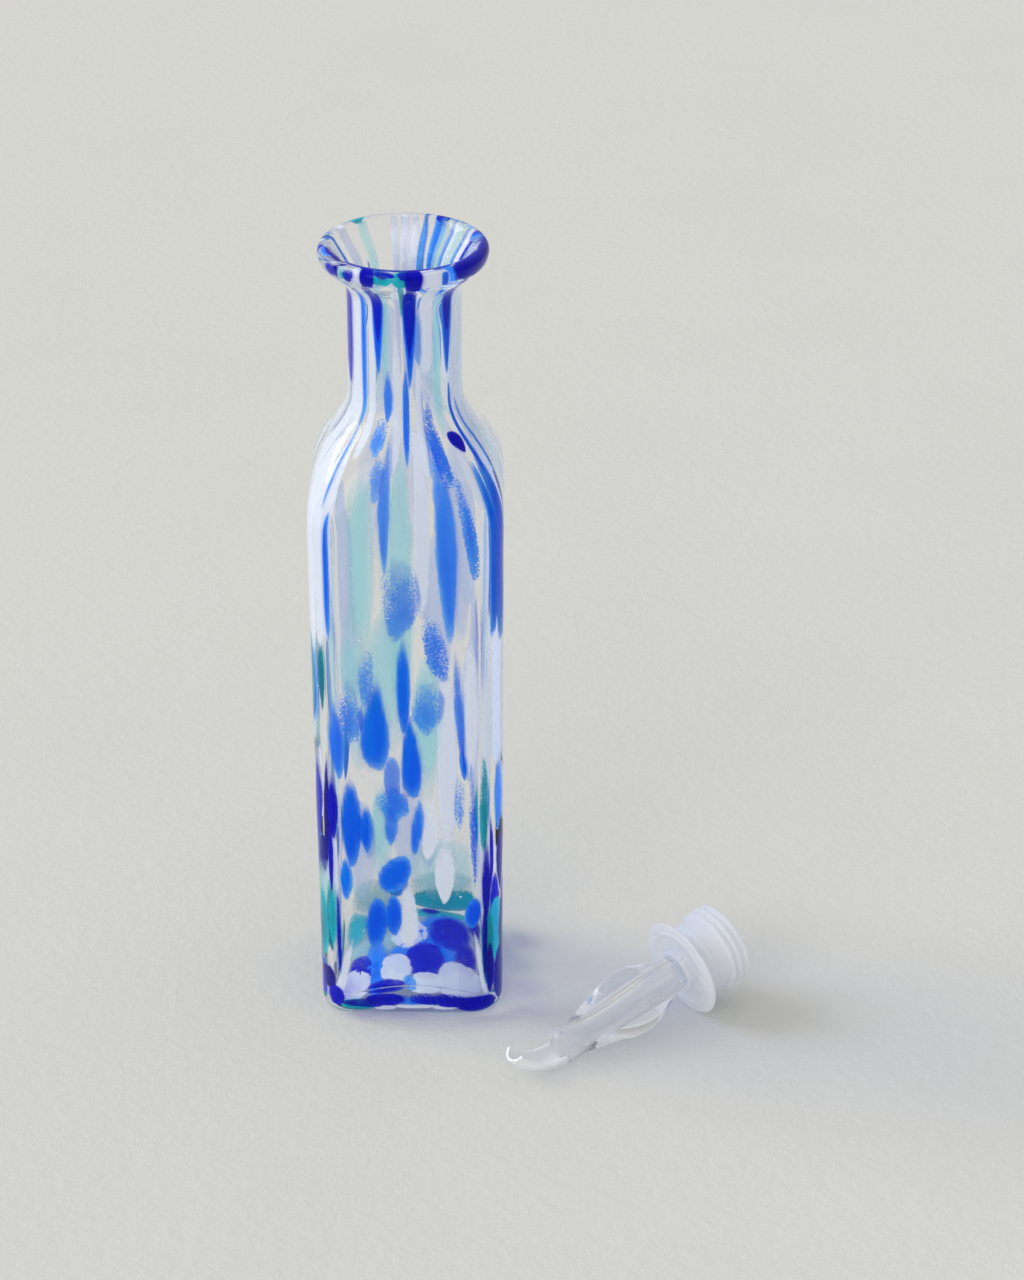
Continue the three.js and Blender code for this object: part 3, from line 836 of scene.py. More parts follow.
BACK_WALL = (
    ("white", "wash", 24, 120, 9, 96),
    ("white", "wash", -8.5, 120, 9, 60, 0.9),
    ("white", "wash", -16, 150, 9, 80, 0.9),
    ("white", "wash", 1, 165, 8, 50, 0.4),
    ("white", "wash", 13, 165, 7, 50, 0.4),
    ("white", "wash", -24, 90, 9, 90, 0.9),
    ("white", "wash", 2, 40, 12, 40, 0.8),
    ("white", "wash", 20, 30, 10, 40, 0.8),
    ("turquoise", "wash", 17, 137, 8, 68),
    ("turquoise", "wash", 4.4, 132, 10, 97),
    ("turquoise", "wash", -4.4, 76, 10, 53),
    ("turquoise", "wash", 20.6, 92, 9, 64),
    ("turquoise", "wash", 8.4, 97, 12, 57),
    ("turquoise", "wash", 12.4, 36, 7.4, 37),
    ("turquoise", "wash", -9, 24, 20, 26),
    ("teal", "wash", -9, 16, 22, 14, 0.25),
    ("teal", "oval", -9.5, 9.5, 24, 11, 1, 0.4),
    ("teal", "wash", 14, 10, 14, 18, 0.4),
    ("white", "streak", 25.3, 142, 7.5, 56, 0.8),
    ("white", "streak", -3.8, 151, 5, 66, 0.8),
    ("white", "streak", -20.3, 146, 6.5, 46, 0.8),
    ("cobalt", "drop", 12.6, 77, 6.5, 28),
    ("cobalt", "lens", 3.3, 90, 3.6, 28),
    ("cobalt", "drop", 0.9, 65, 5, 26),
    ("cobalt", "lens", -11.8, 142, 4.6, 58, 0.9),
    ("cobalt", "lens", 21.8, 40, 5, 30),
    ("cobalt", "oval", 6.9, 18, 8, 14),
    ("cobalt", "lens", 26.7, 71, 4.2, 25, 1, 0.1),
    ("white", "streak", -11.8, 64, 5.2, 60, 0.9),
    ("white", "streak", -20, 84, 5.2, 50, 0.9),
    ("white", "lens", -4.9, 36, 5.8, 24, 0.9),
    ("cobalt", "lens", 16.7, 36, 3.6, 17),
    ("navy", "lens", -26, 108, 4, 40, 0.9, 0.1),
    ("teal", "lens", -26.5, 46, 4, 30, 0.9, 0.1),
)

LEFT_WALL = (
    ("white", "streak", 22, 172, 9, 76),
    ("navy", "lens", 22, 72, 4, 36, 1, 0.1),
    ("teal", "oval", 25, 34, 6, 26, 1, 0.15),
    ("white", "streak", 10, 168, 8, 70, 0.95),
    ("cobalt", "lens", 3, 166, 4.5, 58, 0.9, 0.1),
    ("white", "streak", -6, 170, 6, 66, 0.9),
    ("turquoise", "wash", -14, 165, 11, 80),
    ("cobalt", "lens", -21, 172, 4, 60, 0.9, 0.1),
    ("turquoise", "wash", 8, 118, 13, 60),
    ("teal", "lens", 22, 126, 5, 30, 1, 0.15),
    ("cobalt", "drop", 13, 122, 6, 34, 1, 0.05, 0.03),
    ("white", "lens", 2, 112, 6, 38),
    ("cobalt", "patch", -6, 124, 7, 20, 0.9, 0.7),
    ("white", "wash", -16, 110, 11, 56),
    ("cobalt", "drop", -19, 104, 6, 32, 1, 0.05, -0.03),
    ("navy", "lens", 25, 82, 5, 30, 1, 0.1),
    ("white", "lens", 17, 84, 6, 30),
    ("cobalt", "drop", 9, 82, 7, 30, 1, 0.05, 0.05),
    ("turquoise", "wash", 0, 74, 11, 40),
    ("cobalt", "lens", -3, 84, 4, 26),
    ("white", "lens", -10, 76, 6, 30),
    ("cobalt", "patch", -17, 68, 8, 15, 1, 0.7),
    ("navy", "oval", 19, 58, 6, 14, 1, 0.1),
    ("cobalt", "oval", 5, 53, 9, 15, 1, 0.05, 0.2),
    ("turquoise", "wash", 22, 46, 11, 22),
    ("white", "oval", -4, 46, 7, 18),
    ("navy", "oval", -22, 44, 5, 18, 1, 0.1),
    ("cobalt", "oval", -13, 42, 8, 16, 1, 0.05, -0.1),
    ("teal", "oval", 20, 31, 9, 18, 1, 0.15),
    ("white", "oval", 8, 28, 10, 18),
    ("cobalt", "oval", -1, 26, 7, 14),
    ("white", "oval", -18, 22, 10, 16),
    ("navy", "oval", 20, 10, 10, 10, 1, 0.1),
    ("teal", "oval", -8, 9, 12, 9, 0.9, 0.15),
    ("cobalt", "oval", 5, 7, 9, 7),
)

RIGHT_WALL = (
    ("cobalt", "streak", -24, 169, 6, 58),
    ("navy", "streak", -17, 167, 4, 50, 0.95, 0.1),
    ("navy", "oval", -20, 34, 7, 34, 1, 0.1),
    ("white", "streak", -11, 172, 7, 70, 0.95),
    ("turquoise", "wash", -4, 172, 11, 80),
    ("cobalt", "lens", 1, 168, 5, 60, 0.9, 0.1),
    ("white", "streak", 9, 166, 7, 68, 0.9),
    ("cobalt", "patch", 15, 178, 5, 26, 0.9, 0.6, 0.05),
    ("white", "streak", 22, 164, 7, 70, 0.95),
    ("white", "streak", -19, 118, 8, 56),
    ("turquoise", "wash", -8, 122, 12, 60),
    ("cobalt", "drop", -10, 112, 7, 34),
    ("cobalt", "lens", -3, 124, 4.5, 36),
    ("cobalt", "patch", 5, 128, 7, 18, 0.9, 0.7),
    ("white", "wash", 13, 114, 11, 60),
    ("cobalt", "drop", 10, 104, 6, 30, 1, 0.05, 0.03),
    ("navy", "lens", 21, 112, 5, 34, 0.95, 0.1),
    ("white", "lens", 2, 92, 6, 34),
    ("cobalt", "lens", -17, 80, 5, 30),
    ("white", "lens", -9, 76, 6, 28),
    ("cobalt", "patch", -2, 70, 8, 15, 1, 0.7),
    ("turquoise", "wash", 9, 70, 11, 36),
    ("cobalt", "drop", 16, 74, 7, 28),
    ("navy", "lens", -24, 60, 5, 28, 1, 0.1),
    ("white", "oval", -12, 48, 8, 18),
    ("cobalt", "oval", 0, 48, 9, 14, 1, 0.05, -0.2),
    ("cobalt", "oval", 9, 42, 6, 18),
    ("white", "oval", 19, 44, 8, 20),
    ("teal", "oval", -19, 29, 9, 26, 1, 0.15),
    ("white", "oval", -5, 27, 10, 18),
    ("navy", "oval", 6, 24, 8, 14, 1, 0.1),
    ("white", "oval", 16, 20, 9, 14),
    ("navy", "oval", -24, 14, 7, 22, 1, 0.1),
    ("cobalt", "oval", -10, 9, 11, 9),
    ("teal", "oval", 4, 7, 10, 7, 0.9, 0.15),
    ("navy", "oval", 20, 7, 10, 8, 1, 0.1),
)

# Streaks round the neck: colour, shape, degrees to the right of the front, lowest and highest place, width,
# strength. Heights above the top of the lip run in over it.
NECK_STREAKS = (
    ("white", "wash", 66, 200, 258, 6, 0.9),
    ("white", "wash", -60, 200, 258, 6),
    ("white", "wash", 92, 196, 262, 8),
    ("white", "wash", -88, 196, 262, 8),
    ("white", "wash", 155, 196, 240, 8, 0.9),
    ("white", "wash", 205, 196, 240, 8, 0.8),
    ("turquoise", "wash", 142, 196, 250, 6),
    ("turquoise", "wash", 216, 196, 250, 6),
    ("navy", "streak", -72, 218, 258, 4.6, 0.9),
    ("white", "streak", -53, 203, 257, 3.4),
    ("cobalt", "streak", -43.5, 208, 256, 1.9, 0.9),
    ("cobalt", "lens", -44, 184, 216, 0.9, 0.6),
    ("white", "streak", -34.5, 200, 256, 2.4),
    ("cobalt", "wedge", -26, 223, 254, 3),
    ("turquoise", "streak", -17.8, 222, 256, 2.2),
    ("white", "lens", -7, 194, 243, 2.9),
    ("teal", "streak", -0.5, 244, 257, 1.6, 0.7),
    ("cobalt", "wedge", 6.8, 220, 254, 3.4),
    ("cobalt", "patch", 15, 228, 246, 2.2, 0.55),
    ("white", "streak", 25, 224, 256, 4),
    ("turquoise", "streak", 37, 205, 250, 2.8),
    ("cobalt", "wedge", 49.5, 222, 256, 3.8),
    ("white", "streak", 61, 203, 254, 2.2),
    ("turquoise", "streak", 74, 205, 253, 2.6, 0.8),
    ("white", "streak", 84, 200, 254, 2.6),
    ("cobalt", "lens", -16, 209, 226, 2.8, 0.8),
    ("white", "streak", 16, 193, 227, 2.6, 0.9),
    ("cobalt", "streak", 52, 192, 220, 1.4, 0.9),
    ("cobalt", "streak", 62, 188, 214, 1.1, 0.8),
    ("white", "streak", 42, 184, 212, 3, 0.9),
    ("white", "streak", -66, 178, 216, 5),
    ("navy", "wedge", -26, 234, 256, 2.8, 0.5),
    ("navy", "wedge", 6.8, 230, 256, 3.2, 0.55),
    ("navy", "wedge", 49.5, 236, 257, 3.4, 0.5),
    ("navy", "streak", 96, 226, 264, 4.6, 0.9),
    ("turquoise", "streak", 104, 226, 265, 1.8, 0.9),
    ("navy", "streak", 111, 222, 264, 2.8, 0.75),
    ("white", "streak", 118, 205, 265, 2.2, 0.95),
    ("cobalt", "lens", 125, 218, 262, 2, 0.7),
    ("turquoise", "streak", 131, 216, 265, 2.4, 0.9),
    ("white", "streak", 136, 212, 265, 1.4, 0.9),
    ("cobalt", "lens", 140.5, 212, 263, 2.4, 0.7),
    ("turquoise", "streak", 147, 220, 264, 2, 0.95),
    ("cobalt", "wedge", 152.5, 226, 265, 2.6, 0.9),
    ("navy", "wedge", 152.5, 242, 265, 2.4, 0.6),
    ("cobalt", "lens", 164.5, 222, 262, 2.4),
    ("navy", "lens", 164.5, 224, 261, 2.2, 0.75),
    ("white", "streak", 172, 200, 264, 2, 0.95),
    ("white", "streak", 180, 205, 264, 2.6, 0.95),
    ("white", "streak", 189, 212, 263, 2, 0.9),
    ("turquoise", "streak", 214, 216, 264, 2.6),
    ("cobalt", "streak", 221, 210, 250, 1, 0.95),
    ("white", "streak", 235, 205, 263, 3.8),
    ("cobalt", "streak", 251, 214, 263, 1.5, 0.95),
    ("white", "streak", 262, 203, 262, 2.6, 0.95),
    ("navy", "streak", 275, 222, 262, 3, 0.8),
)

# Dashes over the lip: colour, shape, degrees to the right of the front, how far in over the lip's top, width,
# length, strength.
LIP_DASHES = (
    ("navy", "oval", -70, 0.4, 8, 1.5, 0.95),
    ("navy", "patch", -57, -4.4, 5.6, 4.2, 0.9),
    ("turquoise", "streak", -46.5, -4.4, 3.2, 7),
    ("teal", "patch", -43, -4.8, 3.2, 3.4, 0.9),
    ("navy", "patch", -38.5, -4.3, 3.8, 5, 0.95),
    ("white", "streak", -31.5, -3.4, 4.2, 9),
    ("navy", "streak", -24, -3, 4.4, 9),
    ("teal", "patch", -14.6, -3, 6.2, 7.4),
    ("navy", "patch", -12, -1.6, 5.6, 3.6, 0.85),
    ("white", "streak", -5.5, -3.8, 2.2, 8, 0.9),
    ("teal", "patch", 1.2, -2.8, 6.4, 8.2),
    ("navy", "patch", 3.2, -1.6, 4.6, 4, 0.9),
    ("navy", "streak", 8.8, -3.8, 5.2, 10),
    ("white", "streak", 23, -3.6, 10.4, 9.4),
    ("cobalt", "streak", 31, -4.6, 2.2, 6, 0.8),
    ("navy", "oval", -36, 0.9, 10, 1.1, 0.9),
    ("navy", "oval", -13, 1, 14, 1.2),
    ("navy", "oval", 12, 1, 12, 1.2),
    ("navy", "oval", 31, 0.9, 8, 0.9, 0.8),
    ("navy", "streak", 60, -2.9, 20, 9.4),
    ("navy", "streak", 82, -2.6, 9, 8, 0.95),
    ("cobalt", "streak", 107, -1, 4, 9, 0.9),
    ("navy", "streak", 150, -2.5, 3.2, 5, 0.95),
    ("teal", "streak", 217, -2, 5, 5, 0.9),
    ("cobalt", "oval", 286, -0.6, 8, 2.4, 0.8),
)

# Blobs in the foot, the upper ones last: colour, place seen from above, width, length, strength, turn in
# degrees.
FOOT_BLOBS = (
    ("teal", 8, 20, 18, 9, 0.9),
    ("teal", -19.7, 12.6, 6.8, 24, 0.7),
    ("turquoise", -16.2, -4.9, 10, 11.2),
    ("turquoise", -9.1, -2.6, 6.2, 9),
    ("white", -8, 17, 9, 10, 0.8),
    ("white", -1.5, 2.2, 10.5, 15, 0.9),
    ("cobalt", 3, -10.8, 21, 14, 0.9),
    ("cobalt", 10, 3, 17, 24, 0.9),
    ("navy", 5, 22, 6, 5, 0.8),
    ("navy", 22, 14, 6, 14, 0.8),
    ("navy", 17.9, -9, 6, 12.7, 0.8),
    ("navy", -17.2, -15.5, 7, 11.6, 0.8),
    ("cobalt", -12, -14.8, 6, 22),
    ("navy", 11.8, 4.4, 11, 18),
    ("navy", 4.2, -12.2, 10, 13),
    ("white", -5.5, -16.6, 8.8, 11.5),
    ("white", 4.8, -22.2, 10.2, 6.6),
    ("white", 15.3, -19.2, 13.5, 12),
    ("white", -19.5, -20.6, 10.6, 9, 1, 10),
    ("navy", -8.3, -23, 11, 3.8),
    ("cobalt", -0.6, -22.3, 3.4, 4.9, 1, 30),
)

WALLS = ((FRONT_WALL, -QUARTER), (RIGHT_WALL, 0.0), (BACK_WALL, QUARTER), (LEFT_WALL, math.pi))

TAPER = 0.55            # how much a drop narrows upwards, and a wedge downwards
POINTEDNESS = 0.35      # how much a lens narrows to both its ends
BLUNTNESS = 0.3         # how far a streak keeps its width towards its ends
BLUNT_LIMIT = 1.02      # and what stops it from growing there


def fleck_across(shape, up):
    """How wide a fleck is against an oval, at a height of it from -1 to 1."""
    if shape == "drop":
        return 1 - TAPER * up
    if shape == "wedge":
        return 1 + TAPER * up
    if shape == "lens":
        return 1 - POINTEDNESS * up * up
    if shape == "streak":
        return (BLUNT_LIMIT - up * up) ** -BLUNTNESS
    return 1.0


class FleckBatch:
    """Flecks of one colour, laid in the skin of the glass and joined into one piece."""

    THICKNESS = 0.5 * MM
    USUAL_GRAIN = 0.05
    SPREAD = 0.56                           # a chip's half width, against the width of its row
    FADING = ("lens", "drop", "patch")      # shapes that thin out towards their top
    FADE = 0.72
    WOBBLE = {"patch": 0.3}                 # how uneven an outline is
    USUAL_WOBBLE = 0.14
    WOBBLE_PACE = 1.4                       # how fast it changes
    WOBBLE_RANGE = 100                      # stretch of noise that the flecks take it from
    FOOT_THICKNESS = 0.4 * MM
    FOOT_STEP = 0.012 * MM                  # each blob in the foot lies this much above the one before
    FOOT_SPREAD = 0.66
    FOOT_WOBBLE = 0.12
    FOOT_WOBBLE_PACE = 1.2

    # Colour that runs into the glass: where it starts to fade, against the fleck's own edge, and its strength
    BLEED = {"wash": (0.2, 0.9), "patch": (0.1, 0.62)}
    USUAL_BLEED = (0.7, 1.0)
    FOOT_BLEED = (0.7, 0.2)                 # where it starts to fade, for a hard and for a soft blob
    FOOT_BLEED_SPREAD = 0.62
    BLEED_END = 1.05
    OUT_OF_REACH = 2.0

    def __init__(self, chips, form, chance, depth):
        self.chips = []
        for chip in chips:
            points = [tuple(vertex.co) for vertex in chip.data.vertices]
            self.chips.append((points, [tuple(face.vertices) for face in chip.data.polygons]))
        self.form = form
        self.chance = chance
        self.depth = depth
        self.points, self.faces, self.facts, self.washes = [], [], [], []
        self.laid, self.laid_in_foot = [], []

    def press(self, chip, place, grain, strength, wash=0.0, fade=0.0):
        """Add one chip, each point of which the place function puts in the glass. Its top may fade."""
        points, faces = chip
        first = len(self.points)
        tone = self.chance.random()
        for a, b, c in points:
            self.points.append(place(a, b, c))
            self.facts.append((abs(c) * (1 - fade * (b + 1) / 2), tone, grain, strength))
            self.washes.append(wash)
        self.faces += [tuple(first + k for k in face) for face in faces]

    def lay(self, direction, along, width, tall, shape, strength=1.0, grain=USUAL_GRAIN, lean=0.0):
        """Lay a fleck in the wall, at a direction from above and a way along the skin."""
        form, depth, seed = self.form, self.depth, self.chance.random() * self.WOBBLE_RANGE
        bent = along + tall / 2 > form.along_at_height(form.shoulder_z)
        round_about = form.in_skin(along, direction, depth).xy.length
        unevenness = self.WOBBLE.get(shape, self.USUAL_WOBBLE)
        pace = self.WOBBLE_PACE

        def place(a, b, c):
            wobble = 1 + unevenness * noise.noise((pace * a + seed, pace * b, seed))
            up = 0.5 * tall * b * wobble
            across = self.SPREAD * width * a * wobble * fleck_across(shape, b) + lean * up
            deep = depth - 0.5 * self.THICKNESS * c
            return form.in_skin(along + up, direction + across / round_about, deep)

        self.press(self.chips[1 if bent else 0], place, grain, strength, float(shape == "wash"),
                   self.FADE if shape in self.FADING else 0.0)
        self.laid.append((direction, along, round_about, width, tall, shape, strength, lean))

    def lay_on_wall(self, facing, shape, across, height, width, tall, *looks):
        direction = facing + math.atan2(across * MM, self.form.half_width(height * MM))
        self.lay(direction, self.form.along_at_height(height * MM), width * MM, tall * MM, shape, *looks)

    def lay_up_neck(self, summit, shape, degrees, low, high, width, *looks):
        start = self.form.along_at_height(low * MM)
        end = self.form.along_at_height(min(high * MM, summit)) + max(0.0, high * MM - summit)
        self.lay(-QUARTER + math.radians(degrees), (start + end) / 2, width * MM, end - start, shape, *looks)

    def lay_over_lip(self, top, shape, degrees, inward, width, tall, *looks):
        self.lay(-QUARTER + math.radians(degrees), top + inward * MM, width * MM, tall * MM, shape, *looks)

    def lay_in_foot(self, order, softness, x, y, width, tall, strength=1.0, degrees=0):
        """Lay a round fleck in the face of the domed floor."""
        form, seed = self.form, self.chance.random() * self.WOBBLE_RANGE
        x, y, width, tall, turned = x * MM, y * MM, width * MM, tall * MM, math.radians(degrees)
        rotation = Matrix.Rotation(turned, 2)
        pace = self.FOOT_WOBBLE_PACE

        def place(a, b, c):
            wobble = self.FOOT_SPREAD + self.FOOT_WOBBLE * noise.noise((pace * a + seed, pace * b, seed))
            flat = Vector((x, y)) + rotation @ Vector((wobble * width * a, wobble * tall * b))
            height = form.s.floor + form.dome(flat.x, flat.y, form.s.floor) + order * self.FOOT_STEP
            return Vector((flat.x, flat.y, height + 0.5 * self.FOOT_THICKNESS * c))

        self.press(self.chips[0], place, self.USUAL_GRAIN, strength, softness)
        self.laid_in_foot.append((x, y, width, tall, turned, strength, softness))

    def bleeds(self, along, direction, x, y, on_floor):
        """For each fleck, how far the points of the glass are from it, and how its colour runs into them."""
        for middle, start, round_about, width, tall, shape, strength, lean in self.laid:
            up = along - start
            b = 2 * up / tall
            turned = np.mod(direction - middle + math.pi, 2 * math.pi) - math.pi
            across = self.SPREAD * width * fleck_across(shape, np.clip(b, -1.0, 1.0))
            a = (turned * round_about - lean * up) / across
            soft, share = self.BLEED.get(shape, self.USUAL_BLEED)
            yield np.hypot(a, b), soft, share * strength
        for middle_x, middle_y, width, tall, turned, strength, softness in self.laid_in_foot:
            c, s = math.cos(turned), math.sin(turned)
            a = (c * (x - middle_x) + s * (y - middle_y)) / (self.FOOT_BLEED_SPREAD * width)
            b = (c * (y - middle_y) - s * (x - middle_x)) / (self.FOOT_BLEED_SPREAD * tall)
            far = np.where(on_floor, np.hypot(a, b), self.OUT_OF_REACH)
            yield far, blend_values(*self.FOOT_BLEED, softness), strength

    def finish(self, name, material):
        mesh = bpy.data.meshes.new(name)
        mesh.from_pydata(self.points, [], self.faces)
        fact = mesh.attributes.new("fleck", "FLOAT_COLOR", "POINT")
        fact.data.foreach_set("color", [value for row in self.facts for value in row])
        mesh.attributes.new("wash", "FLOAT", "POINT").data.foreach_set("value", self.washes)
        piece = bpy.data.objects.new(name, mesh)
        bpy.context.scene.collection.objects.link(piece)
        make_active(piece)
        bpy.ops.object.mode_set(mode="EDIT")
        bpy.ops.mesh.select_all(action="SELECT")
        bpy.ops.mesh.normals_make_consistent(inside=False)
        bpy.ops.object.mode_set(mode="OBJECT")
        set_material(piece, material)
        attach(piece, "bottle")


class OILBOTTLE_OT_melt_in_flecks(bpy.types.Operator):
    """Melt the coloured flecks into the glass, each in its own place, and white dots by a fixed chance:
    painted glints of small bubbles
    """

    bl_idname = "oil_bottle.melt_in_flecks"
    bl_label = "Melt in flecks"

    SEED = 11
    CHIP_SIDES = 8
    CHIP_RINGS = (8, 26)            # the longer chip bends with the shoulder and the lip
    BELOW_TOP = 0.02 * MM           # streaks pass over the lip here, and dashes are measured from here
    SOFT_BLOB = {"white": 0.0}      # how softly a blob in the foot ends
    USUAL_SOFT_BLOB = 0.8
    # White dots laid with the white flecks stand for the glints of bubbles: painted glints
    BUBBLE_GLINTS = 90
    GLINT_HEIGHTS = (0.02, 0.95)   # against the height of the shoulder
    GLINT_WIDTHS = (0.35, 0.75)    # in millimetres
    GLINT_LENGTH = 1.2             # against the width
    CLEAR_GLASS = (0.985, 0.99, 1.0, 1.0)

    def execute(self, context):
        form = BottleForm(context.scene.bottle_sizes)
        chance = random.Random(self.SEED)
        chips = [self.make_chip(rings) for rings in self.CHIP_RINGS]
        batches = {}
        for name, glass in FLECK_GLASS.items():
            batches[name] = FleckBatch(chips, form, chance, glass.depth)
        self.lay_flecks(batches, form)
        self.lay_bubble_glints(batches["white"], form, chance)
        for name, batch in batches.items():
            thick_colour = getattr(context.scene.fleck_colours, name)
            material = fleck_material(f"{name}_fleck", thick_colour, FLECK_GLASS[name])
            batch.finish(f"flecks_{name}", material)
        self.tint_glass(bpy.data.objects["bottle_glass"].data, form, batches)
        for chip in chips:
            bpy.data.objects.remove(chip)
        return {"FINISHED"}

    def make_chip(self, rings):
        """A chip of colour, with its poles along Y, which flecks are copies of."""
        deselect_all()
        bpy.ops.mesh.primitive_uv_sphere_add(
            segments=self.CHIP_SIDES, ring_count=rings, radius=1.0, rotation=(QUARTER, 0, 0))
        bpy.ops.object.transform_apply(rotation=True)
        return bpy.context.object

    def lay_flecks(self, batches, form):
        for rows, facing in WALLS:
            for name, *row in rows:
                batches[name].lay_on_wall(facing, *row)
        summit = form.s.height - self.BELOW_TOP
        for name, *row in NECK_STREAKS:
            batches[name].lay_up_neck(summit, *row)
        top = form.along_at_height(summit)
        for name, *row in LIP_DASHES:
            batches[name].lay_over_lip(top, *row)
        for order, (name, *row) in enumerate(FOOT_BLOBS):
            batches[name].lay_in_foot(order, self.SOFT_BLOB.get(name, self.USUAL_SOFT_BLOB), *row)

    def lay_bubble_glints(self, batch, form, chance):
        """Scatter white dots, the painted glints of the tiny bubbles that hand-blown glass holds."""
        for _ in range(self.BUBBLE_GLINTS):
            along = form.along_at_height(chance.uniform(*self.GLINT_HEIGHTS) * form.shoulder_z)
            width = chance.uniform(*self.GLINT_WIDTHS) * MM
            direction = chance.uniform(-math.pi, math.pi)
            batch.lay(direction, along, width, self.GLINT_LENGTH * width, "oval")

    def tint_glass(self, mesh, form, batches):
        """Let the colour of each fleck run a little into the clear glass over it."""
        count = len(mesh.vertices)
        way = np.empty(3 * count, dtype=np.float32)
        mesh.attributes["way"].data.foreach_get("vector", way)
        along, east, north = way.reshape(-1, 3).T
        direction = np.arctan2(north, east)
        spots = np.empty(3 * count, dtype=np.float32)
        mesh.vertices.foreach_get("co", spots)
        x, y, z = spots.reshape(-1, 3).T
        on_floor = (along > form.reach[-1]) & (z < form.s.floor + form.s.floor_rise + form.s.floor_heel)
        tint = np.tile(np.array(self.CLEAR_GLASS, dtype=np.float32), (count, 1))
        end = FleckBatch.BLEED_END
        for name, batch in batches.items():
            ink = np.array(FLECK_GLASS[name].melt)
            for far, soft, strength in batch.bleeds(along, direction, x, y, on_floor):
                run = np.clip((end - far) / (end - soft), 0.0, 1.0)
                cover = (strength * run * run * (3 - 2 * run))[:, None]
                tint[:, :3] *= 1 - cover * (1 - ink)
        melt = mesh.attributes.new("melt", "FLOAT_COLOR", "POINT")
        melt.data.foreach_set("color", tint.ravel())
        mesh.attributes.remove(mesh.attributes["way"])


# The pourer

def pourer_place(sizes):
    """Where the pourer lies: its own axis Z runs into the plug, and its own Y points up."""
    tilt = math.atan2(sizes.flange_radius - sizes.spout_radius, sizes.reach)
    c, s = math.cos(sizes.heading), math.sin(sizes.heading)
    axis = Vector((c * math.cos(tilt), s * math.cos(tilt), math.sin(tilt)))
    up = Vector((-c * math.sin(tilt), -s * math.sin(tilt), math.cos(tilt)))
    across = up.cross(axis)
    turned = Matrix((across, up, axis)).transposed().to_4x4()
    middle = Vector((sizes.place[0], sizes.place[1], sizes.flange_radius * math.cos(tilt)))
    return Matrix.Translation(middle) @ turned


def lay_down(piece, sizes):
    make_active(piece)
    piece.matrix_world = pourer_place(sizes)
    bpy.ops.object.transform_apply(location=True, rotation=True, scale=True)


class OILBOTTLE_OT_mould_stopper(bpy.types.Operator):
    """Mould the pourer's soft stopper: flange, collar, finned plug, socket and air hole"""

    bl_idname = "oil_bottle.mould_stopper"
    bl_label = "Mould stopper"

    TURNED_SIDES = 64
    VENT_SIDES = 24
    FINS = 3
    ROUNDED = 0.12 * MM
    SMOOTH_BELOW = math.radians(40)

    def execute(self, context):
        p = context.scene.pourer_sizes
        stopper = turn("stopper_moulding", self.outline(p), self.TURNED_SIDES)
        weld_and_face_out()
        bpy.ops.object.mode_set(mode="OBJECT")
        self.pierce_vent(stopper, p)
        round_edges(stopper, self.ROUNDED)
        make_active(stopper)
        bpy.ops.object.shade_smooth_by_angle(angle=self.SMOOTH_BELOW)
        lay_down(stopper, p)
        set_material(stopper, milky_material("milky_plastic"))
        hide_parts("pourer_stopper")
        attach(stopper, "stopper")
        return {"FINISHED"}

    @staticmethod
    def edges(p):
        """Outside of the collar, inside of the plug, and depth of the plug's roof."""
        return p.socket_radius + p.collar_wall, p.plug_radius - p.plug_wall, p.flange + p.plug_wall / 2

    def outline(self, p):
        collar, inside, roof = self.edges(p)
        socket = p.socket_radius + p.socket_wall
        bead = p.flange_radius - p.rim_width
        rim = p.flange_rim / 2
        relief = p.plug_radius - p.plug_relief
        fins = []
        first = p.plug_length - p.fin_foot / 2 - p.plug_chamfer - (self.FINS - 1) * p.fin_pitch
        for k in range(self.FINS):
            y = first + k * p.fin_pitch
            fins += [(p.plug_radius, y - p.fin_foot / 2), (p.fin_radius, y - p.fin_edge / 2),
                     (p.fin_radius, y + p.fin_edge / 2), (p.plug_radius, y + p.fin_foot / 2)]
        return [
            (p.socket_radius, -p.collar), (collar - p.bead, -p.collar), (collar, p.bead - p.collar),
            (collar, 0), (bead - 2 * p.bead, 0),
            *arc(bead - p.bead, 0, p.bead, math.pi, 2 * math.pi, 6),
            (p.flange_radius - rim, 0),
            *arc(p.flange_radius - rim, rim, rim, -QUARTER, QUARTER, 6),
            (bead, p.flange_rim), (bead - p.bead, p.flange), (relief, p.flange), (relief, p.plug_neck),
            (p.plug_radius, p.plug_neck + p.plug_relief), *fins,
            (p.plug_radius - p.plug_chamfer, p.plug_length), (inside, p.plug_length), (inside, roof),
            (socket, roof), (socket, p.socket_depth), (p.socket_radius, p.socket_depth),
            (p.socket_radius, -p.collar),
        ]

    def pierce_vent(self, stopper, p):
        """Drill the air hole through the flange, half-way between the collar and the plug's inside."""
        deselect_all()
        collar, inside, roof = self.edges(p)
        bpy.ops.mesh.primitive_cylinder_add(
            vertices=self.VENT_SIDES, radius=p.vent_diameter / 2, depth=roof + 2 * p.flange,
            location=(-(collar + inside) / 2, 0, roof / 2))
        drill = bpy.context.object
        apply_modifier(stopper, "BOOLEAN", operation="DIFFERENCE", solver="EXACT", object=drill)
        bpy.data.objects.remove(drill)


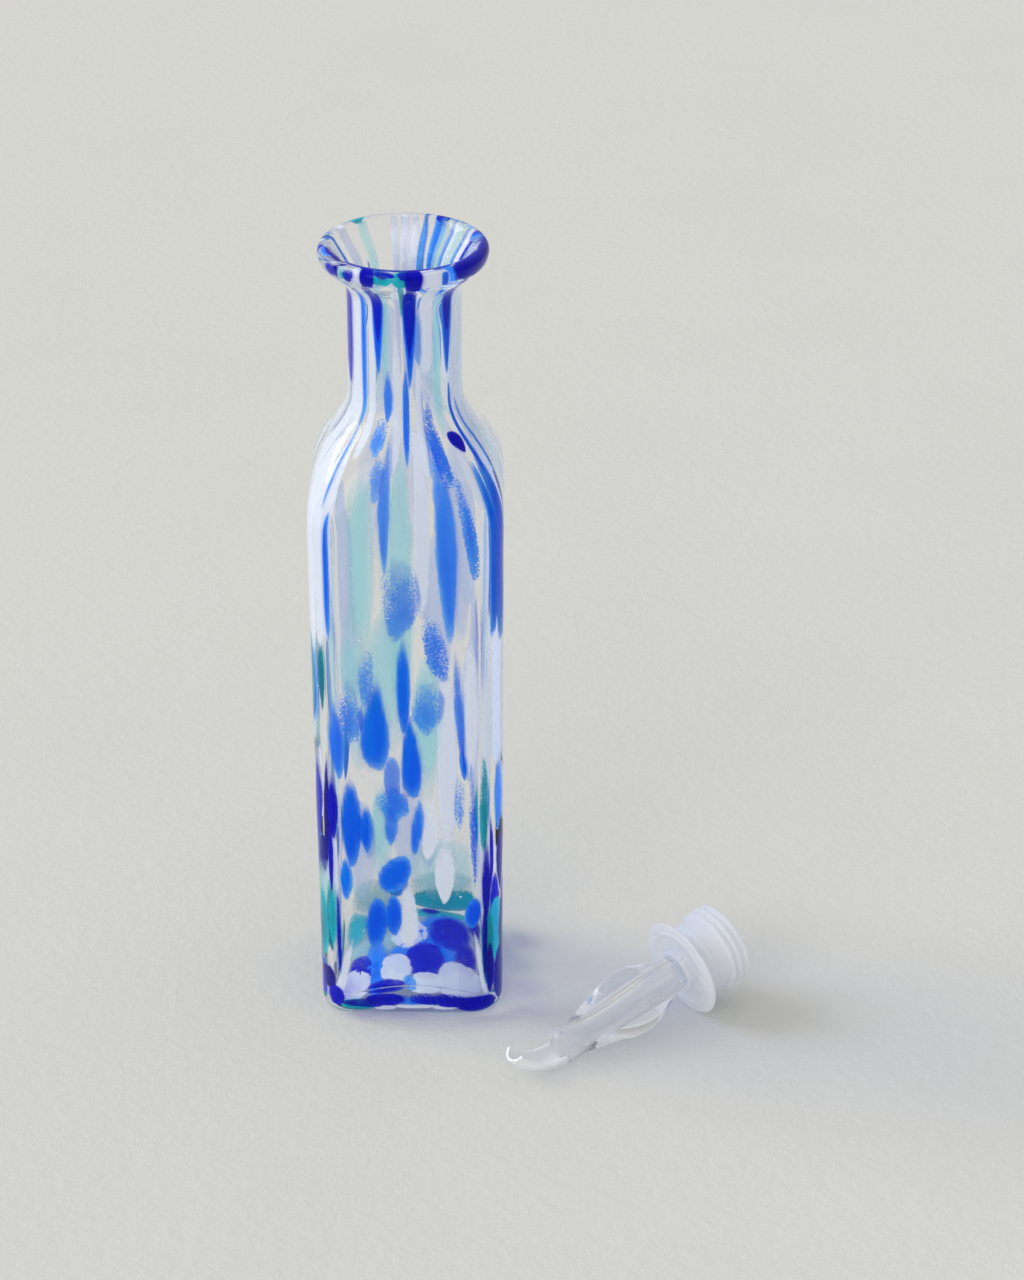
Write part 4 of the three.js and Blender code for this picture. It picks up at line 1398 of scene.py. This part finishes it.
class OILBOTTLE_OT_mould_spout(bpy.types.Operator):
    """Mould the pourer's clear spout: spigot, swelling, bore, square cut and curled gutter"""

    bl_idname = "oil_bottle.mould_spout"
    bl_label = "Mould spout"

    TURNED_SIDES = 48
    SMOOTH_LEVELS = 1
    SKIN_STEPS = 22
    BORE_STEPS = 12
    GUTTER_STEPS = 12
    RINGS = 4
    ROUNDED = 0.22 * MM
    AT_THE_CUT = 0.01 * MM                          # faces this close to the square cut lie on it
    LOWER_HALF = 0.1 * MM                           # and below this height they grow into the gutter
    FROST_START, FROST_FULL = -0.8 * MM, 1.0 * MM   # from the square cut, towards the gutter's tip

    def execute(self, context):
        p = context.scene.pourer_sizes
        spout = turn("spout_moulding", self.outline(p), self.TURNED_SIDES)
        weld_and_face_out()
        self.draw_gutter(spout, p)
        weld_and_face_out()
        bpy.ops.object.mode_set(mode="OBJECT")
        round_edges(spout, self.ROUNDED)
        subdivide_smooth(spout, self.SMOOTH_LEVELS)
        # Paler towards the gutter's tip and over the cut's rim: partly frosting, partly a painted sheen and a
        # painted highlight.
        frost = spout.data.attributes.new("frost", "FLOAT", "POINT")
        for vertex in spout.data.vertices:
            frost.data[vertex.index].value = smooth(
                -vertex.co.z, p.reach + self.FROST_START, p.reach + self.FROST_FULL)
        lay_down(spout, p)
        # The pale rim on the spout's edges, seen edge on, is a painted highlight.
        set_material(spout, clear_material(
            "clear_plastic", (0.98, 0.985, 0.995), roughness=0.05, ior=1.47, wave_scale=160.0,
            wave_height=0.08 * MM, shade=(0.88, 0.89, 0.91), clearness=0.985, rim=0.06, frost=0.46))
        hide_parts("pourer_spout")
        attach(spout, "spout")
        return {"FINISHED"}

    def outline(self, p):
        root = -p.collar - p.play
        end = p.reach - p.swell_root
        widest = end - p.swell_fall
        skin = []
        for k in range(self.SKIN_STEPS + 1):
            distance = (p.reach + root) * k / self.SKIN_STEPS
            grown = smooth(distance, widest - p.swell_rise, widest) - smooth(distance, widest, end)
            skin.append((blend_values(p.spout_radius, p.swell_radius, grown), distance - p.reach))
        rings = []
        for k in range(self.RINGS):
            y = p.ring_start + k * p.ring_pitch
            rings += [(p.spigot_radius, y - p.ring_width / 2), (p.spigot_radius + p.ring_height, y),
                      (p.spigot_radius, y + p.ring_width / 2)]
        return [
            (p.spout_bore, -p.reach), *skin, (p.spigot_radius, root), *rings,
            (p.spigot_radius, p.spigot_end - p.ring_height), (p.spigot_radius - p.ring_height, p.spigot_end),
            (p.spout_bore, p.spigot_end),
            *straight((p.spout_bore, p.spigot_end), (p.spout_bore, -p.reach), self.BORE_STEPS),
        ]

    def draw_gutter(self, spout, p):
        """Draw the lower half of the cut end out along a curl, getting smaller to the tip."""
        bpy.ops.mesh.select_all(action="DESELECT")
        shape = bmesh.from_edit_mesh(spout.data)
        for face in shape.faces:
            middle = face.calc_center_median()
            if abs(middle.z + p.reach) < self.AT_THE_CUT and middle.y < self.LOWER_HALF:
                face.select_set(True)
        shape.select_flush_mode()
        bmesh.update_edit_mesh(spout.data)
        bpy.ops.mesh.inset(thickness=p.gutter_inset)
        step = p.gutter_turn / self.GUTTER_STEPS
        taper = p.gutter_taper ** (1 / self.GUTTER_STEPS)
        for k in range(self.GUTTER_STEPS):
            extrude()
            bpy.ops.transform.rotate(value=-step, orient_axis="X",
                                     center_override=(0, p.gutter_bend, -p.reach))
            turned = (k + 1) * step
            middle = (0, p.gutter_bend * (1 - math.cos(turned)), -p.reach - p.gutter_bend * math.sin(turned))
            bpy.ops.transform.resize(value=(taper, taper, taper), center_override=middle)


# The stage

class OILBOTTLE_OT_set_stage(bpy.types.Operator):
    """Set the pale floor, the soft light and the camera"""

    bl_idname = "oil_bottle.set_stage"
    bl_label = "Set stage"

    FLOOR_SIZE = 8.0
    HORIZON, ZENITH = (0.60, 0.605, 0.62), (1.38, 1.38, 1.38)
    LAMP_COLOUR = (1.0, 0.99, 0.97)
    LAMPS = (("key", 0.57, (-2.4, 0.56, 1.7)), ("fill", 0.75, (-1.5, -2.8, 1.1)))   # name, softness, place
    LIGHT_PATHS = {"max_bounces": 24, "transmission_bounces": 24, "transparent_max_bounces": 48,
                   "caustics_reflective": False, "caustics_refractive": False}
    SENSOR_WIDTH = 36.0             # in millimetres
    NEAREST = 0.05                  # the camera sees nothing that is closer

    def execute(self, context):
        scene, settings = context.scene, context.scene.stage_settings
        scene.view_settings.view_transform = "Standard"
        for key, value in self.LIGHT_PATHS.items():
            setattr(scene.cycles, key, value)
        self.lay_floor(settings)
        self.set_sky(scene, settings)
        self.set_lamps(scene, settings)
        self.set_camera(scene, settings)
        return {"FINISHED"}

    def lay_floor(self, settings):
        deselect_all()
        bpy.ops.mesh.primitive_plane_add(size=self.FLOOR_SIZE)
        floor = bpy.context.object
        floor.name = "floor"
        set_material(floor, floor_material("pale_floor", settings.floor_colour))

    def set_sky(self, scene, settings):
        """An even light that gets brighter towards the zenith."""
        world = scene.world = bpy.data.worlds.new("soft_room")
        world.use_nodes = True
        tree = world.node_tree
        even = tree.nodes["Background"]
        even.inputs["Strength"].default_value = settings.sky
        upright = put(tree, "SeparateXYZ", {"Vector": put(tree, "TexCoord")["Generated"]})["Z"]
        tree.links.new(blend_colours(tree, upright, self.HORIZON, self.ZENITH), even.inputs["Color"])

    def set_lamps(self, scene, settings):
        for name, softness, spot in self.LAMPS:
            lamp = bpy.data.lights.new(f"{name}_lamp", "SUN")
            lamp.angle = softness
            lamp.energy = getattr(settings, name)
            lamp.color = self.LAMP_COLOUR
            holder = bpy.data.objects.new(f"{name}_lamp", lamp)
            scene.collection.objects.link(holder)
            holder.location = spot
            holder.rotation_euler = (-holder.location).to_track_quat("-Z", "Y").to_euler()

    def set_camera(self, scene, settings):
        data = bpy.data.cameras.new("camera")
        data.lens = settings.lens
        data.sensor_width = self.SENSOR_WIDTH
        data.clip_start = self.NEAREST
        camera = bpy.data.objects.new("camera", data)
        scene.collection.objects.link(camera)
        camera.location = settings.eye
        camera.rotation_euler = (QUARTER - settings.look_down, 0, 0)
        scene.camera = camera


class OILBOTTLE_PT_steps(bpy.types.Panel):
    """The steps that build the bottle, its pourer and the stage"""

    bl_idname = "OILBOTTLE_PT_steps"
    bl_label = "Oil bottle"
    bl_space_type = "VIEW_3D"
    bl_region_type = "UI"
    bl_category = "Oil bottle"

    def draw(self, context):
        for operator in STEPS:
            self.layout.operator(operator.bl_idname)
        for name, kind in GROUPS.items():
            box = self.layout.box()
            for key in kind.__annotations__:
                box.prop(getattr(context.scene, name), key)


GROUPS = {
    "bottle_sizes": BottleSizes,
    "fleck_colours": FleckColours,
    "pourer_sizes": PourerSizes,
    "stage_settings": StageSettings,
}
STEPS = (
    OILBOTTLE_OT_blow_bottle,
    OILBOTTLE_OT_melt_in_flecks,
    OILBOTTLE_OT_mould_stopper,
    OILBOTTLE_OT_mould_spout,
    OILBOTTLE_OT_set_stage,
)


def register():
    for kind in (*GROUPS.values(), *STEPS, OILBOTTLE_PT_steps):
        bpy.utils.register_class(kind)
    for name, group in GROUPS.items():
        setattr(bpy.types.Scene, name, bpy.props.PointerProperty(type=group))


def unregister():
    for name in GROUPS:
        delattr(bpy.types.Scene, name)
    for kind in reversed((*GROUPS.values(), *STEPS, OILBOTTLE_PT_steps)):
        bpy.utils.unregister_class(kind)


def main():
    register()
    bpy.ops.oil_bottle.blow_bottle()
    bpy.ops.oil_bottle.melt_in_flecks()
    bpy.ops.oil_bottle.mould_stopper()
    bpy.ops.oil_bottle.mould_spout()
    bpy.ops.oil_bottle.set_stage()


if __name__ == "__main__":
    main()
